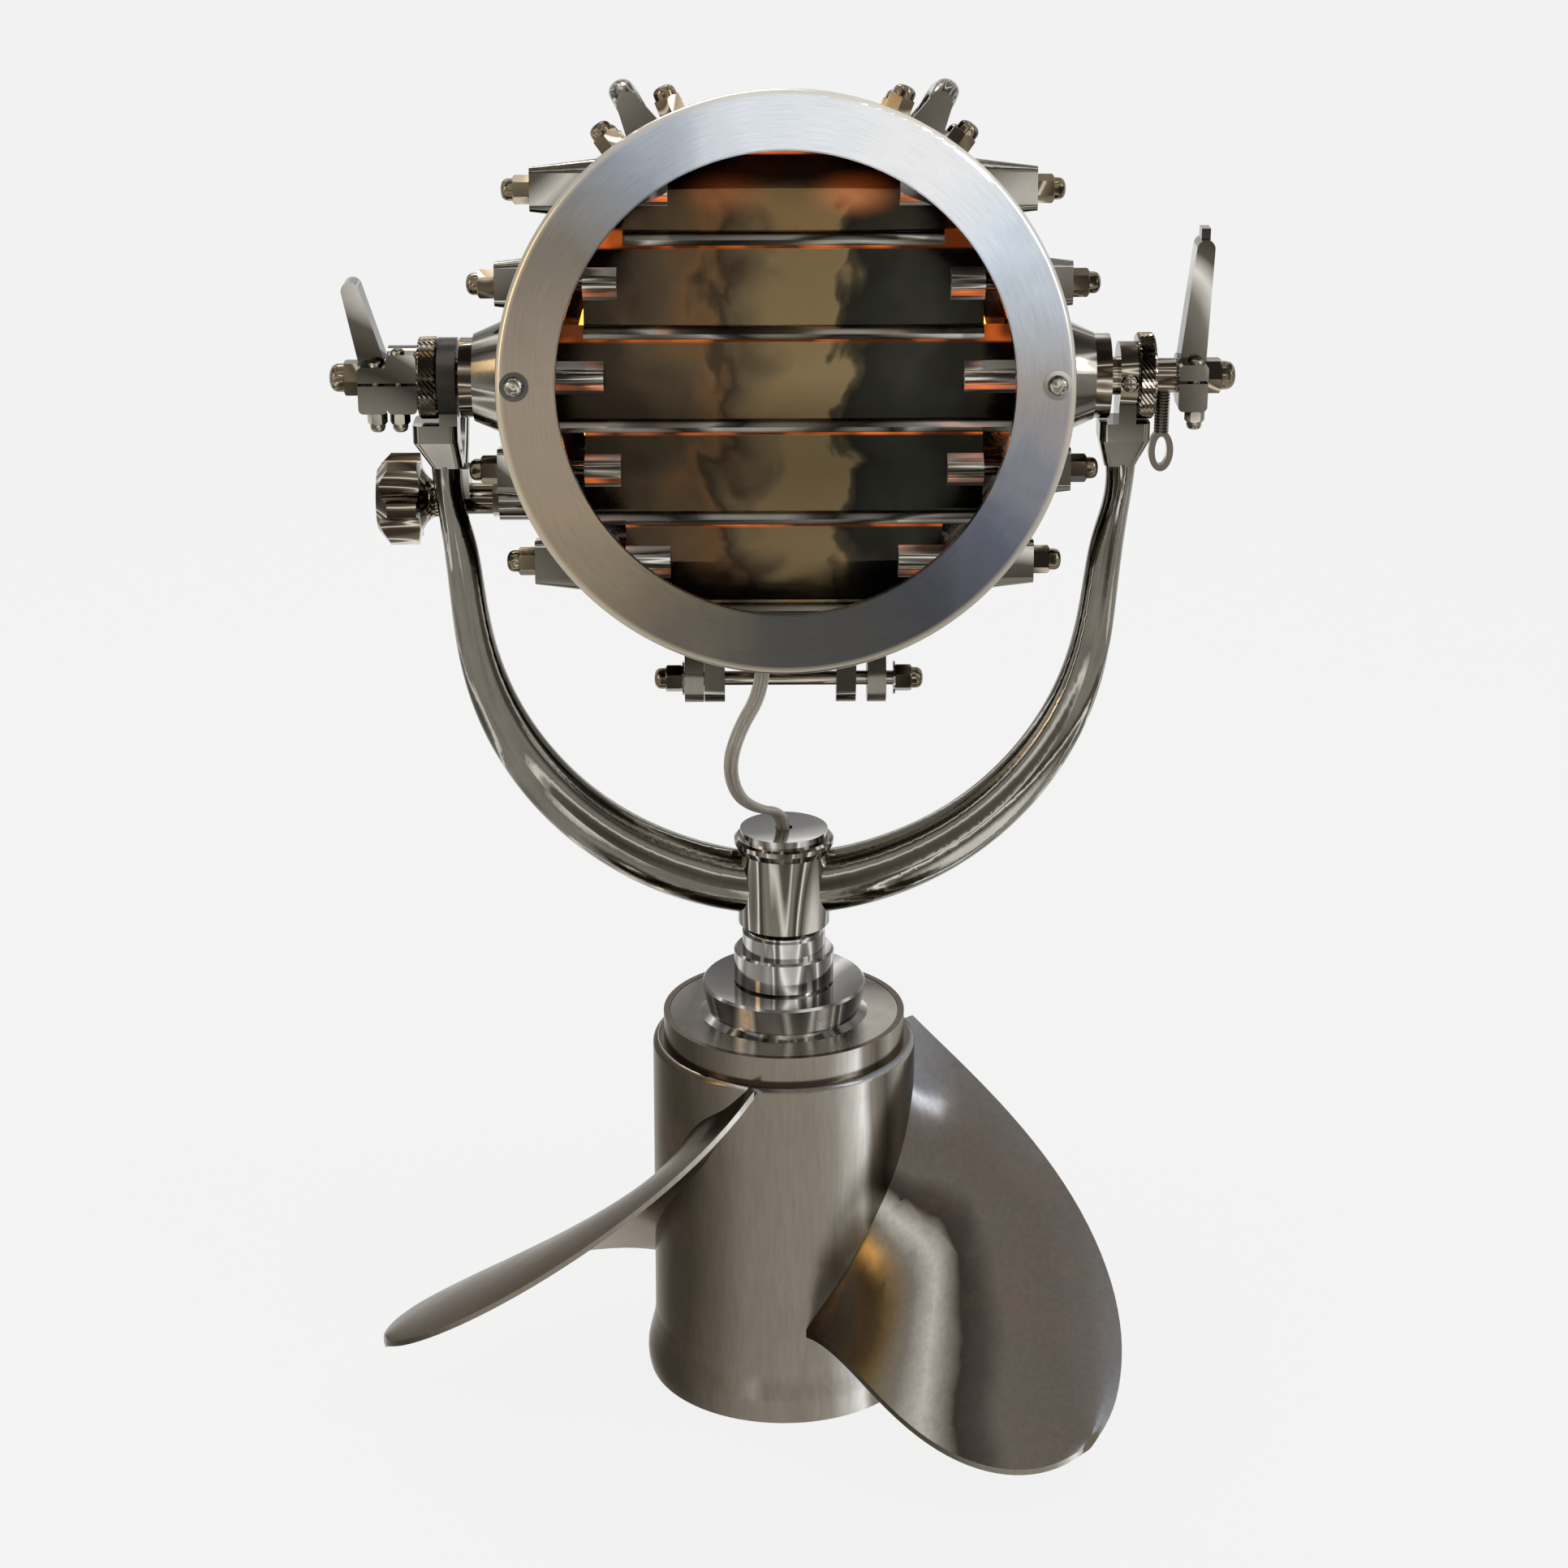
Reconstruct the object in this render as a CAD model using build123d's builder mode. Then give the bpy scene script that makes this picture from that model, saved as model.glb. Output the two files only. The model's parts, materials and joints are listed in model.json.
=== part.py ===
from build123d import *
import math
import os

os.makedirs("parts", exist_ok=True)

# The lamp stands on the aft rim of the propeller, with its pan axis on Z and its face towards -Y.
# All sizes are millimetres.

# Fits and gaps
running_clearance = 0.05
side_gap = 0.2
soft_gap = 0.3
open_pin_clearance = 0.15

# Propeller
barrel_radius = 56.5
barrel_wall = 5.0
flare_radius = 60.6
flare_top = 26.0
flare_widest = 7.0
flare_blend = 0.6
rim_step = 0.8
shoulder_height = 158.0
shoulder_round = 3.0
band_radius = 51.8
band_height = 11.7
recess_wall = 2.6
recess_depth = 6.2
ledge_width = 5.2
ledge_thickness = 14.0
inner_hub_radius = 22.0
inner_hub_bore = 15.0
inner_hub_bottom = 60.0
inner_hub_top = 140.0
web_thickness = 6.0
blade_count = 3
blade_pitch = 419.0
blade_root_radius = 54.0
blade_tip_radius = 178.7
blade_lead_angle = 12.0
blade_lead_height = 151.0
blade_rake = 0.20
blade_rake_curl = 0.0017
blade_middle_angle = -30.5
blade_skew = -23.0
blade_skew_curl = 7.5
blade_root_half_chord = 49.0
blade_chord_growth = 34.0
blade_chord_curl = -13.0
blade_tip_fullness = 3.1
blade_edge_thickness = 2.4
blade_core_thickness = 5.5
blade_root_flare = 15.0
blade_flare_reach = 7.0
blade_stations = 13
blade_first_station = 27.0
blade_station_bias = 1.5
blade_tip_trim = 0.25
blade_chord_points = 9

# Pedestal stack
plate_gap = 0.2
flange_radius = 35.0
flange_foot_radius = 33.0
flange_height = 14.3
collar_radius = 21.3
collar_height = 15.0
swivel_radius = 17.7
swivel_height = 9.0
swivel_groove = 1.4
tie_radius = 6.5
tie_bore = 4.5
tie_washer_radius = 20.0
tie_washer_thickness = 3.0
tie_nut_flats = 22.0
tie_nut_height = 10.0
tie_tail = 3.0
felt_thickness = 3.0
grommet_height = 33.0
grommet_neck = 4.5
grommet_flange = 7.0
grommet_flange_thickness = 2.2
grommet_bore = 3.0
grommet_stand_off = 0.8

# Yoke, with its heights measured from its own bottom on the pedestal stack
yoke_bottom = (
    shoulder_height
    + band_height
    - plate_gap
    + flange_height
    + collar_height
    + swivel_height
    + side_gap
)
yoke_hub_radius = 19.4
yoke_hub_shoulder = 21.0
yoke_hub_height = 41.8
yoke_hub_round = 3.0
yoke_hub_edge = 1.0
yoke_floor = 16.0
yoke_cavity_radius = 13.0
yoke_nut_height = 9.0
yoke_nut_flats = 20.0
cap_radius = 18.5
cap_thickness = 3.3
cap_spigot = 4.0
cap_hole_radius = 3.6
arm_outer_radius = 135.9
arm_outer_centre = yoke_bottom + 142.0
arm_inner_radius = 122.2
arm_inner_centre = yoke_bottom + 155.7
arm_top_height = yoke_bottom + 209.0
arm_top_outer = 141.9
arm_top_inner = 129.8
arm_middle_height = yoke_bottom + 177.0
arm_middle_outer = 139.8
arm_middle_inner = 127.2
arm_hub_depth = 25.0
arm_top_depth = 13.0
arm_first_angle = -84.0
arm_last_angle = -8.0
arm_middle_depth = 14.5
arm_sections = 7
cradle_bottom = yoke_bottom + 208.0
cradle_top = yoke_bottom + 221.2
cradle_depth = 19.0
cradle_waist = cradle_bottom + 6.0
cradle_foot = cradle_bottom - 5.0
cradle_foot_width = 12.6
cradle_foot_depth = 13.8
right_cradle_inner = 127.0
right_cradle_outer = 147.2
left_cradle_inner = 131.0
left_cradle_outer = 149.0
cradle_round = 3.0
saddle_rise = 11.0

# Head
tilt_axis_height = yoke_bottom + 239.0
head_tilt = 10.0
drum_radius = 106.0
drum_wall = 6.0
drum_front = 62.0
drum_rear = 32.0
seat_width = 7.0
seat_front = 56.0
seat_thickness = 4.0
bezel_radius = 111.0
bezel_bore = 88.0
bezel_front = 69.0
bezel_skirt = 9.0
bezel_skirt_wall = 3.6
bezel_round = 3.0
glass_gap = 0.5
glass_thickness = 4.0
gasket_width = 8.0
bezel_screw_circle = 103.5
bezel_screw_head = 4.0
bezel_screw_rise = 3.2
bezel_screw_shank = 2.0
bezel_screw_length = 18.0
bezel_washer_radius = 5.6
bezel_washer_thickness = 1.0

# Shutters
shutter_pitch = 37.0
shutter_half_lengths = {1: 64.0, 2: 80.0, 3: 94.0, 4: 80.0, 5: 64.0}
lug_inner_ends = {1: 46.0, 2: 66.5, 3: 72.0, 4: 65.5, 5: 46.0}
shutter_trim_radius = 96.5
shutter_below = 21.0
shutter_above = 20.0
shutter_thickness = 3.0
shutter_crown = 1.5
lip_reach = 4.0
edge_set_back = 3.0
shutter_bend_above = 14.0
shutter_bend_below = 17.0
shutter_bend = 3.0
lug_back = 5.0
lug_height = 13.0
lug_proud = 12.0
lug_shoulder = 5.0
lug_nose = 4.0
pivot_radius = 3.0
pivot_depth = 11.0
crank_behind = 12.0
crank_above = 20.0
crank_width = 3.0
crank_eye = 3.2
crank_pin = 1.5
crank_offset = 2.0
crank_root = 9.0
crank_pin_end = 3.0
link_width = 3.0
link_depth = 3.0
shutter_open_angle = 70.0

# Bosses on the drum, by their height above the trunnion axis
boss_faces = {74.0: 100.5, 37.0: 115.0}
boss_lengths = {74.0: 60.0, 37.0: 30.0}
boss_side = 17.5
boss_corner = 2.5
boss_taper = 7.0
trunnion_boss_face = 124.0
trunnion_boss_radius = 17.5
trunnion_boss_root = 29.0
trunnion_boss_depth = 26.0

# Trunnions, levers and rings
shaft_radius = 4.0
trunnion_radius = 7.7
trunnion_tip_radius = 7.0
trunnion_root = 98.0
left_collar_end = 129.4
left_collar_radius = 16.0
right_collar_end = 130.4
right_collar_radius = 17.0
left_ring_start = 130.7
left_ring_end = 138.0
left_ring_radius = 16.0
right_ring_start = 134.2
right_ring_end = 141.2
right_ring_radius = 13.8
left_knurl_end = 146.0
left_knurl_radius = 16.5
right_knurl_end = 148.3
right_knurl_radius = 17.3
knurl_chamfer = 0.8
right_trunnion_end = 157.0
left_hub_end = 158.0
left_hub_radius = 13.0
left_boss_end = 169.6
left_boss_radius = 8.5
left_lever_top_x = 171.7
left_lever_rise = 36.0
left_lever_root_x = 162.5
right_hub_start = 157.4
right_hub_end = 169.0
right_hub_radius = 9.0
right_lever_root_x = 163.0
right_lever_top_x = 166.8
right_lever_rise = 52.0
right_lever_tab = 6.0
lever_root_round = 5.5
lever_top_round = 3.6
lever_width = 12.0
split_width = 1.2
pinch_radius = 2.0
pinch_nut_flats = 7.0
pinch_nut_length = 8.0
pinch_nut_hex = 4.5
hub_pinch_x = 153.4
hub_flat_rise = 12.0
pinch_forward = 9.2
pinch_lug_front = 13.0
pinch_lug_rise = 7.0
pinch_lug_round = 2.0
pinch_head_radius = 2.8
pinch_head_rise = 2.0
left_pinch_x = 162.5
right_pinch_x = 164.5
pinch_lug_drop = 12.0
lever_nut_flats = 13.0
lever_nut_hex = 6.5
lever_nut_length = 12.5
bearing_screw_head = 3.6
bearing_screw_rise = 2.2
bearing_screw_shank = 1.6
bearing_screw_length = 4.5
screw_slot_width = 1.0
screw_slot_depth = 1.1

# Lock screw under the right trunnion
lock_screw_x = 152.6
lock_screw_radius = 3.0
lock_screw_length = 19.0
lock_eye_width = 10.0
lock_eye_height = 17.0
lock_eye_rim = 2.6
lock_eye_thickness = 4.0
lock_eye_lap = 1.0

# Dome nuts, with the shape as shares of the width across flats
nut_dome_share = 0.44
nut_foot_share = 0.52
nut_rim_share = 0.6
nut_crown_share = 0.75
nut_bevel = 0.9
nut_flats = 10.0
nut_hex = 7.0
nut_length = 11.8

# Handles
handle_angles = (119.5, 60.5)
handle_foot_width = 30.0
handle_foot_length = 15.0
handle_foot_rise = 4.5
handle_front = 38.0
handle_rear = -24.0
handle_rise = 26.5
handle_lean = 7.0
handle_width = 10.0
handle_depth = 8.4
handle_foot_root = 7.0
handle_foot_crest = 16.0
handle_foot_round = 4.4
handle_bend = 11.0
handle_nut_angle = 6.8

# Hinge of the rear cover
hinge_drop = 127.0
hinge_rod_radius = 3.0
hinge_eye_radius = 10.0
drum_lugs = ((-33.0, -24.5), (21.8, 30.0))
cover_lugs = ((-41.2, -33.3), (34.8, 42.6))
lug_root_depth = 22.0
lug_root_sink = 2.0
lug_root_height = 8.0
hinge_washer_radius = 7.0
hinge_washer_thickness = 1.0
hinge_left_end = 42.2
hinge_right_end = 46.5

# Rear cover and what it holds
cover_gap = 1.0
cover_wall = 3.0
cover_rim_depth = 6.0
cover_waist_radius = 101.0
cover_cheek_radius = 90.0
cover_cheek_depth = 88.0
cover_crown_radius = 62.0
cover_crown_depth = 120.0
cover_back_radius = 30.0
cover_back_depth = 136.0
vent_hole_count = 8
vent_hole_radius = 3.2
vent_hole_circle = 24.6
vent_cap_radius = 33.0
vent_cap_gap = 5.0
vent_cap_rise = 7.0
vent_stem_radius = 7.0
reflector_wall = 1.2
reflector_rim = 86.0
reflector_hole = 20.5
reflector_depth = 58.0
reflector_seat_width = 7.0
reflector_seat_depth = 3.8
holder_radius = 18.0
holder_length = 30.0
bulb_cap_radius = 13.0
bulb_cap_length = 20.0
bulb_radius = 21.0
bulb_front = 52.0
bulb_neck_radius = 11.5
bulb_wall = 1.0
holder_socket = 12.0
vent_cap_edge = 3.0
catch_width = 14.0
catch_thickness = 1.4
catch_seat = 14.0
catch_reach = 12.0

# Tilt clamp, placed by how far it lies behind and below the trunnion axis
clamp_behind = 22.0
clamp_below = 56.1
clamp_stem_radius = 3.5
clamp_boss_face = 117.0
clamp_boss_root = 86.0
clamp_boss_neck = 99.0
clamp_pad_lap = 3.0
clamp_pad_inset = 1.0
clamp_boss_radius = 9.0
clamp_hex_thickness = 2.6
clamp_hex_flats = 14.0
clamp_sleeve_radius = 6.5
clamp_sleeve_end = 131.8
quadrant_inner = 132.0
quadrant_outer = 136.0
quadrant_rim = 6.3
quadrant_lug_thickness = 4.0
quadrant_arm_gap = 8.2
quadrant_ears = (-45.0, -74.0)
quadrant_ear_behind = 13.5
quadrant_ear_radius = 6.2
quadrant_screw_radius = 2.0
quadrant_screw_head = 3.4
quadrant_screw_rise = 2.4
tilt_up = 6.0
tilt_down = 50.0
quadrant_slot_clearance = 0.25
knob_radius = 19.0
knob_lobes = 6
knob_face_radius = 13.0
knob_bevel = 5.0
knob_valley_radius = 9.0
knob_inner = 149.0
knob_outer = 167.0
knob_flare_start = 142.0
knob_neck_radius = 7.5
knob_neck_start = 136.4
knob_bore_depth = 24.0
knob_valley_depth = 4.5

# Lamp lead between the drum and the yoke hub, with heights above the yoke's bottom
lead_diameter = 5.6
gland_across = -9.0
gland_forward = 29.0
gland_radius = 5.5
gland_collar = 8.0
gland_collar_thickness = 2.5
gland_drop = 6.5
gland_seat = 0.1
lead_route = (
    (-9.4, -50.0, 122.5),
    (-18.5, -48.5, 106.0),
    (-23.0, -42.0, 88.0),
    (-19.5, -30.0, 70.0),
    (-11.0, -16.5, 59.5),
    (-3.4, -5.0, 54.5),
    (0.0, 0.0, 47.3),
    (0.0, 0.0, 38.0),
)
lead_arc_share = 0.45


# Frames and shared shapes
tilt_rad = math.radians(head_tilt)
HEAD = Plane(
    origin=(0, 0, tilt_axis_height),
    x_dir=(1, 0, 0),
    z_dir=(0, -math.cos(tilt_rad), math.sin(tilt_rad)),
)
HEAD_SECTION = Plane(origin=HEAD.origin, x_dir=HEAD.y_dir, z_dir=HEAD.x_dir)
TRUNNION = Plane(origin=HEAD.origin, x_dir=(1, 0, 0), z_dir=(0, -1, 0))
head_axis = Axis(HEAD.origin, HEAD.z_dir)
trunnion_axis = Axis(HEAD.origin, HEAD.x_dir)


def head_point(across, above, forward):
    """Point measured from the trunnion axis in the tilted head's own directions."""
    return HEAD.from_local_coords((across, above, forward))


def head_side(across, above=0.0, forward=0.0):
    """Plane square to the trunnion axis, with its own axes backwards and up in the head."""
    return Plane(origin=head_point(across, above, forward), x_dir=-HEAD.z_dir, z_dir=(1, 0, 0))


def trunnion_plane(across, side=1):
    """Plane square to the trunnion axis that faces outwards, right for side 1 and left for -1."""
    return Plane(origin=(side * across, 0, tilt_axis_height), x_dir=(0, side, 0), z_dir=(side, 0, 0))


def span(low_x, low_y, high_x, high_y, mode=Mode.ADD):
    """Rectangle between two corners, drawn in the open sketch."""
    with Locations(((low_x + high_x) / 2, (low_y + high_y) / 2)):
        Rectangle(high_x - low_x, high_y - low_y, mode=mode)


def dome_nut(flats, hex_length, length, bore):
    """Acorn nut that stands on XY with its blind thread along Z."""
    dome = flats * nut_dome_share
    foot = flats * nut_foot_share
    rim = flats * nut_rim_share
    dome_start = length - dome * nut_crown_share
    with BuildPart() as nut:
        with BuildSketch():
            RegularPolygon(flats / 2, 6, major_radius=False)
        extrude(amount=hex_length)
        with BuildSketch(Plane.XZ):
            with BuildLine():
                Polyline(
                    (0, 0),
                    (foot, 0),
                    (rim, rim - foot),
                    (rim, hex_length - nut_bevel),
                    (dome, hex_length + nut_bevel / 2),
                    (0, hex_length + nut_bevel / 2),
                    close=True,
                )
            make_face()
        revolve(axis=Axis.Z, mode=Mode.INTERSECT)
        with BuildSketch(Plane.XZ):
            with BuildLine():
                Polyline((0, hex_length / 2), (dome, hex_length / 2), (dome, dome_start))
                Spline((dome, dome_start), (0, length), tangents=[(0, 1), (-1, 0)])
                Line((0, length), (0, hex_length / 2))
            make_face()
        revolve(axis=Axis.Z)
        with BuildSketch():
            Circle(bore)
        extrude(amount=hex_length, mode=Mode.SUBTRACT)
    return nut.part


# Propeller, one stainless casting with three raked blades
tip_angle = blade_middle_angle + blade_skew + blade_skew_curl


def blade_height(radius, angle):
    """Height of the blade's middle surface at a radius and an angle round the barrel."""
    out = radius - blade_root_radius
    rise = blade_pitch / 360 * (angle - blade_lead_angle)
    return blade_lead_height + rise - blade_rake * out - blade_rake_curl * out**2


def blade_outline(share, side):
    """Radius and angle of the leading (side 1) or trailing (-1) edge, from root 0 to tip 1."""
    radius = blade_root_radius + (blade_tip_radius - blade_root_radius) * share
    middle = blade_middle_angle + blade_skew * share + blade_skew_curl * share**2
    half_chord = blade_root_half_chord + blade_chord_growth * share + blade_chord_curl * share**2
    half_chord *= math.sqrt(max(0.0, 1 - max(share, 0.0) ** blade_tip_fullness))
    return radius, middle + side * math.degrees(half_chord / radius)


def blade_edge(reach, side):
    """Sideways place of one edge where a plane square to the blade's long axis cuts it."""
    low, high = -0.3, 1.0
    for _ in range(40):
        share = (low + high) / 2
        radius, angle = blade_outline(share, side)
        if radius * math.cos(math.radians(angle - tip_angle)) < reach:
            low = share
        else:
            high = share
    return radius * math.sin(math.radians(angle - tip_angle))


def blade_face_point(reach, chord_share, face):
    """Point of the upper (face 1) or lower (-1) skin in a section, chord share from -1 to 1."""
    lead = blade_edge(reach, 1)
    trail = blade_edge(reach, -1)
    sideways = (lead + trail) / 2 + chord_share * (lead - trail) / 2
    radius = max(math.hypot(reach, sideways), blade_root_radius)
    angle = tip_angle + math.degrees(math.atan2(sideways, reach))
    belly = 1 - chord_share**2
    thick = blade_edge_thickness + (blade_core_thickness - blade_edge_thickness) * belly
    thick += blade_root_flare * belly * math.exp((blade_root_radius - radius) / blade_flare_reach)
    slope = blade_pitch / (2 * math.pi * radius)
    return sideways, blade_height(radius, angle) + face * thick / 2 * math.hypot(1, slope)


with BuildPart() as blade:
    spread = [blade_chord_points - 1 - 2 * i for i in range(blade_chord_points)]
    chord_shares = [math.sin(math.pi / 2 * s / (blade_chord_points - 1)) for s in spread]
    long_axis = Vector(math.cos(math.radians(tip_angle)), math.sin(math.radians(tip_angle)), 0)
    for station in range(blade_stations):
        inward = (1 - station / (blade_stations - 1)) ** blade_station_bias
        station_reach = blade_tip_radius - blade_tip_trim - (blade_tip_radius - blade_first_station) * inward
        station_plane = Plane(
            origin=long_axis * station_reach, x_dir=Vector(0, 0, 1).cross(long_axis), z_dir=long_axis
        )
        upper = [blade_face_point(station_reach, share, 1) for share in chord_shares]
        lower = [blade_face_point(station_reach, share, -1) for share in chord_shares]
        with BuildSketch(station_plane):
            with BuildLine():
                Spline(*upper)
                Line(upper[-1], lower[-1])
                Spline(*reversed(lower))
                Line(lower[0], upper[0])
            make_face()
    loft()

band_top = shoulder_height + band_height
recess_radius = band_radius - recess_wall
recess_floor = band_top - recess_depth
ledge_bore = recess_radius - ledge_width
barrel_bore = barrel_radius - barrel_wall
with BuildPart() as propeller:
    with BuildSketch(Plane.XZ):
        with BuildLine():
            Line((0, 0), (flare_radius - rim_step, 0))
            Spline(
                (flare_radius - rim_step, 0),
                (flare_radius, flare_widest),
                (barrel_radius + flare_blend, flare_top),
                tangents=((0.3, 1), (-0.05, 1)),
            )
            Line((barrel_radius + flare_blend, flare_top), (barrel_radius, shoulder_height - shoulder_round))
            RadiusArc(
                (barrel_radius, shoulder_height - shoulder_round),
                (barrel_radius - shoulder_round, shoulder_height),
                -shoulder_round,
            )
            Polyline(
                (barrel_radius - shoulder_round, shoulder_height),
                (band_radius, shoulder_height),
                (band_radius, band_top),
                (recess_radius, band_top),
                (recess_radius, recess_floor),
                (0, recess_floor),
                (0, 0),
            )
        make_face()
    revolve(axis=Axis.Z)
    with PolarLocations(0, blade_count):
        add(blade.part)
    with BuildSketch(Plane.XY.offset(shoulder_height)):
        Circle(blade_tip_radius)
        Circle(band_radius, mode=Mode.SUBTRACT)
    extrude(amount=band_height, mode=Mode.SUBTRACT)
    with BuildSketch():
        Circle(barrel_bore)
    extrude(amount=recess_floor - ledge_thickness, mode=Mode.SUBTRACT)
    with BuildSketch():
        Circle(ledge_bore)
    extrude(amount=band_top, mode=Mode.SUBTRACT)
    with BuildSketch(Plane.XY.offset(inner_hub_bottom)):
        Circle(inner_hub_radius)
        with PolarLocations(0, blade_count):
            span(0, -web_thickness / 2, barrel_bore + barrel_wall / 2, web_thickness / 2)
        Circle(inner_hub_bore, mode=Mode.SUBTRACT)
    extrude(amount=inner_hub_top - inner_hub_bottom)
    with BuildSketch(Plane.XZ.offset(-barrel_bore + barrel_wall)):
        with Locations((0, grommet_height)):
            Circle(grommet_neck)
    extrude(amount=-barrel_wall * 3, mode=Mode.SUBTRACT)

propeller.part.label = "propeller"
export_step(propeller.part, "parts/propeller.step")


# Pedestal stack, clamped by a threaded tube that also takes the lead
with BuildPart() as hub_cover_plate:
    with BuildSketch(Plane.XY.offset(recess_floor)):
        Circle(recess_radius - plate_gap)
        Circle(tie_radius, mode=Mode.SUBTRACT)
    extrude(amount=recess_depth - plate_gap)
hub_cover_plate.part.label = "hub_cover_plate"
export_step(hub_cover_plate.part, "parts/hub_cover_plate.step")

flange_bottom = band_top - plate_gap
flange_top = flange_bottom + flange_height
with BuildPart() as stepped_flange:
    with BuildSketch(Plane.XZ):
        with BuildLine():
            Polyline(
                (tie_radius, flange_bottom),
                (flange_radius + 1, flange_bottom),
                (flange_foot_radius, flange_bottom + 2),
                (flange_radius, flange_top - 1),
                (flange_radius - 1, flange_top),
                (tie_radius, flange_top),
                (tie_radius, flange_bottom),
            )
        make_face()
    revolve(axis=Axis.Z)
stepped_flange.part.label = "stepped_flange"
export_step(stepped_flange.part, "parts/stepped_flange.step")

collar_top = flange_top + collar_height
with BuildPart() as pedestal_collar:
    with BuildSketch(Plane.XY.offset(flange_top)):
        Circle(collar_radius)
        Circle(tie_radius, mode=Mode.SUBTRACT)
    extrude(amount=collar_height)
    chamfer(pedestal_collar.edges().filter_by(GeomType.CIRCLE).sort_by(SortBy.RADIUS)[-2:], 1.0)
pedestal_collar.part.label = "pedestal_collar"
export_step(pedestal_collar.part, "parts/pedestal_collar.step")

swivel_top = collar_top + swivel_height
with BuildPart() as swivel_ring:
    with BuildSketch(Plane.XZ):
        span(tie_radius, collar_top, swivel_radius, swivel_top - swivel_groove)
        span(tie_radius, swivel_top - swivel_groove, swivel_radius - swivel_groove, swivel_top)
    revolve(axis=Axis.Z)
swivel_ring.part.label = "swivel_ring"
export_step(swivel_ring.part, "parts/swivel_ring.step")

yoke_floor_top = yoke_bottom + yoke_floor
yoke_nut_bottom = yoke_floor_top + side_gap
tie_top = yoke_nut_bottom + yoke_nut_height + tie_tail
washer_bottom = inner_hub_bottom - tie_washer_thickness
tie_nut_bottom = washer_bottom - tie_nut_height
with BuildPart() as tie_tube:
    with BuildSketch(Plane.XY.offset(tie_nut_bottom - tie_tail)):
        Circle(tie_radius)
        Circle(tie_bore, mode=Mode.SUBTRACT)
    extrude(amount=tie_top - tie_nut_bottom + tie_tail)
tie_tube.part.label = "tie_tube"
export_step(tie_tube.part, "parts/tie_tube.step")

with BuildPart() as tie_washer:
    with BuildSketch(Plane.XY.offset(washer_bottom)):
        Circle(tie_washer_radius)
        Circle(tie_radius, mode=Mode.SUBTRACT)
    extrude(amount=tie_washer_thickness)
tie_washer.part.label = "tie_washer"
export_step(tie_washer.part, "parts/tie_washer.step")

with BuildPart() as tie_nut:
    with BuildSketch(Plane.XY.offset(tie_nut_bottom)):
        RegularPolygon(tie_nut_flats / 2, 6, major_radius=False)
        Circle(tie_radius, mode=Mode.SUBTRACT)
    extrude(amount=tie_nut_height)
tie_nut.part.label = "tie_nut"
export_step(tie_nut.part, "parts/tie_nut.step")

with BuildPart() as yoke_nut:
    with BuildSketch(Plane.XY.offset(yoke_nut_bottom)):
        RegularPolygon(yoke_nut_flats / 2, 6, major_radius=False)
        Circle(tie_radius, mode=Mode.SUBTRACT)
    extrude(amount=yoke_nut_height)
yoke_nut.part.label = "yoke_nut"
export_step(yoke_nut.part, "parts/yoke_nut.step")

with BuildPart() as base_felt:
    with BuildSketch(Plane.XY):
        Circle(barrel_bore - plate_gap)
    extrude(amount=felt_thickness)
base_felt.part.label = "base_felt"
export_step(base_felt.part, "parts/base_felt.step")

grommet_seat = barrel_radius + grommet_stand_off
grommet_plane = Plane(origin=(0, 0, grommet_height), x_dir=(0, 1, 0), z_dir=(1, 0, 0))
with BuildPart() as cord_grommet:
    with BuildSketch(grommet_plane):
        span(barrel_bore, grommet_bore, grommet_seat, grommet_neck)
        span(grommet_seat, grommet_bore, grommet_seat + grommet_flange_thickness, grommet_flange)
    revolve(axis=Axis(grommet_plane.origin, grommet_plane.x_dir))
cord_grommet.part.label = "cord_grommet"
export_step(cord_grommet.part, "parts/cord_grommet.step")


# Yoke: hub, two curved arms and the two cradles, one casting
def arm_plane(outer, inner):
    """Plane square to an arm, through a point on its outer edge and one on its inner edge."""
    across = outer - inner
    return Plane(origin=(outer + inner) / 2, x_dir=across, z_dir=Vector(0, 1, 0).cross(across))


def arm_edge(radius, centre_height, turn):
    """Point on one of the two circles that the arm's edges follow."""
    return Vector(radius * math.cos(turn), 0, centre_height + radius * math.sin(turn))


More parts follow.
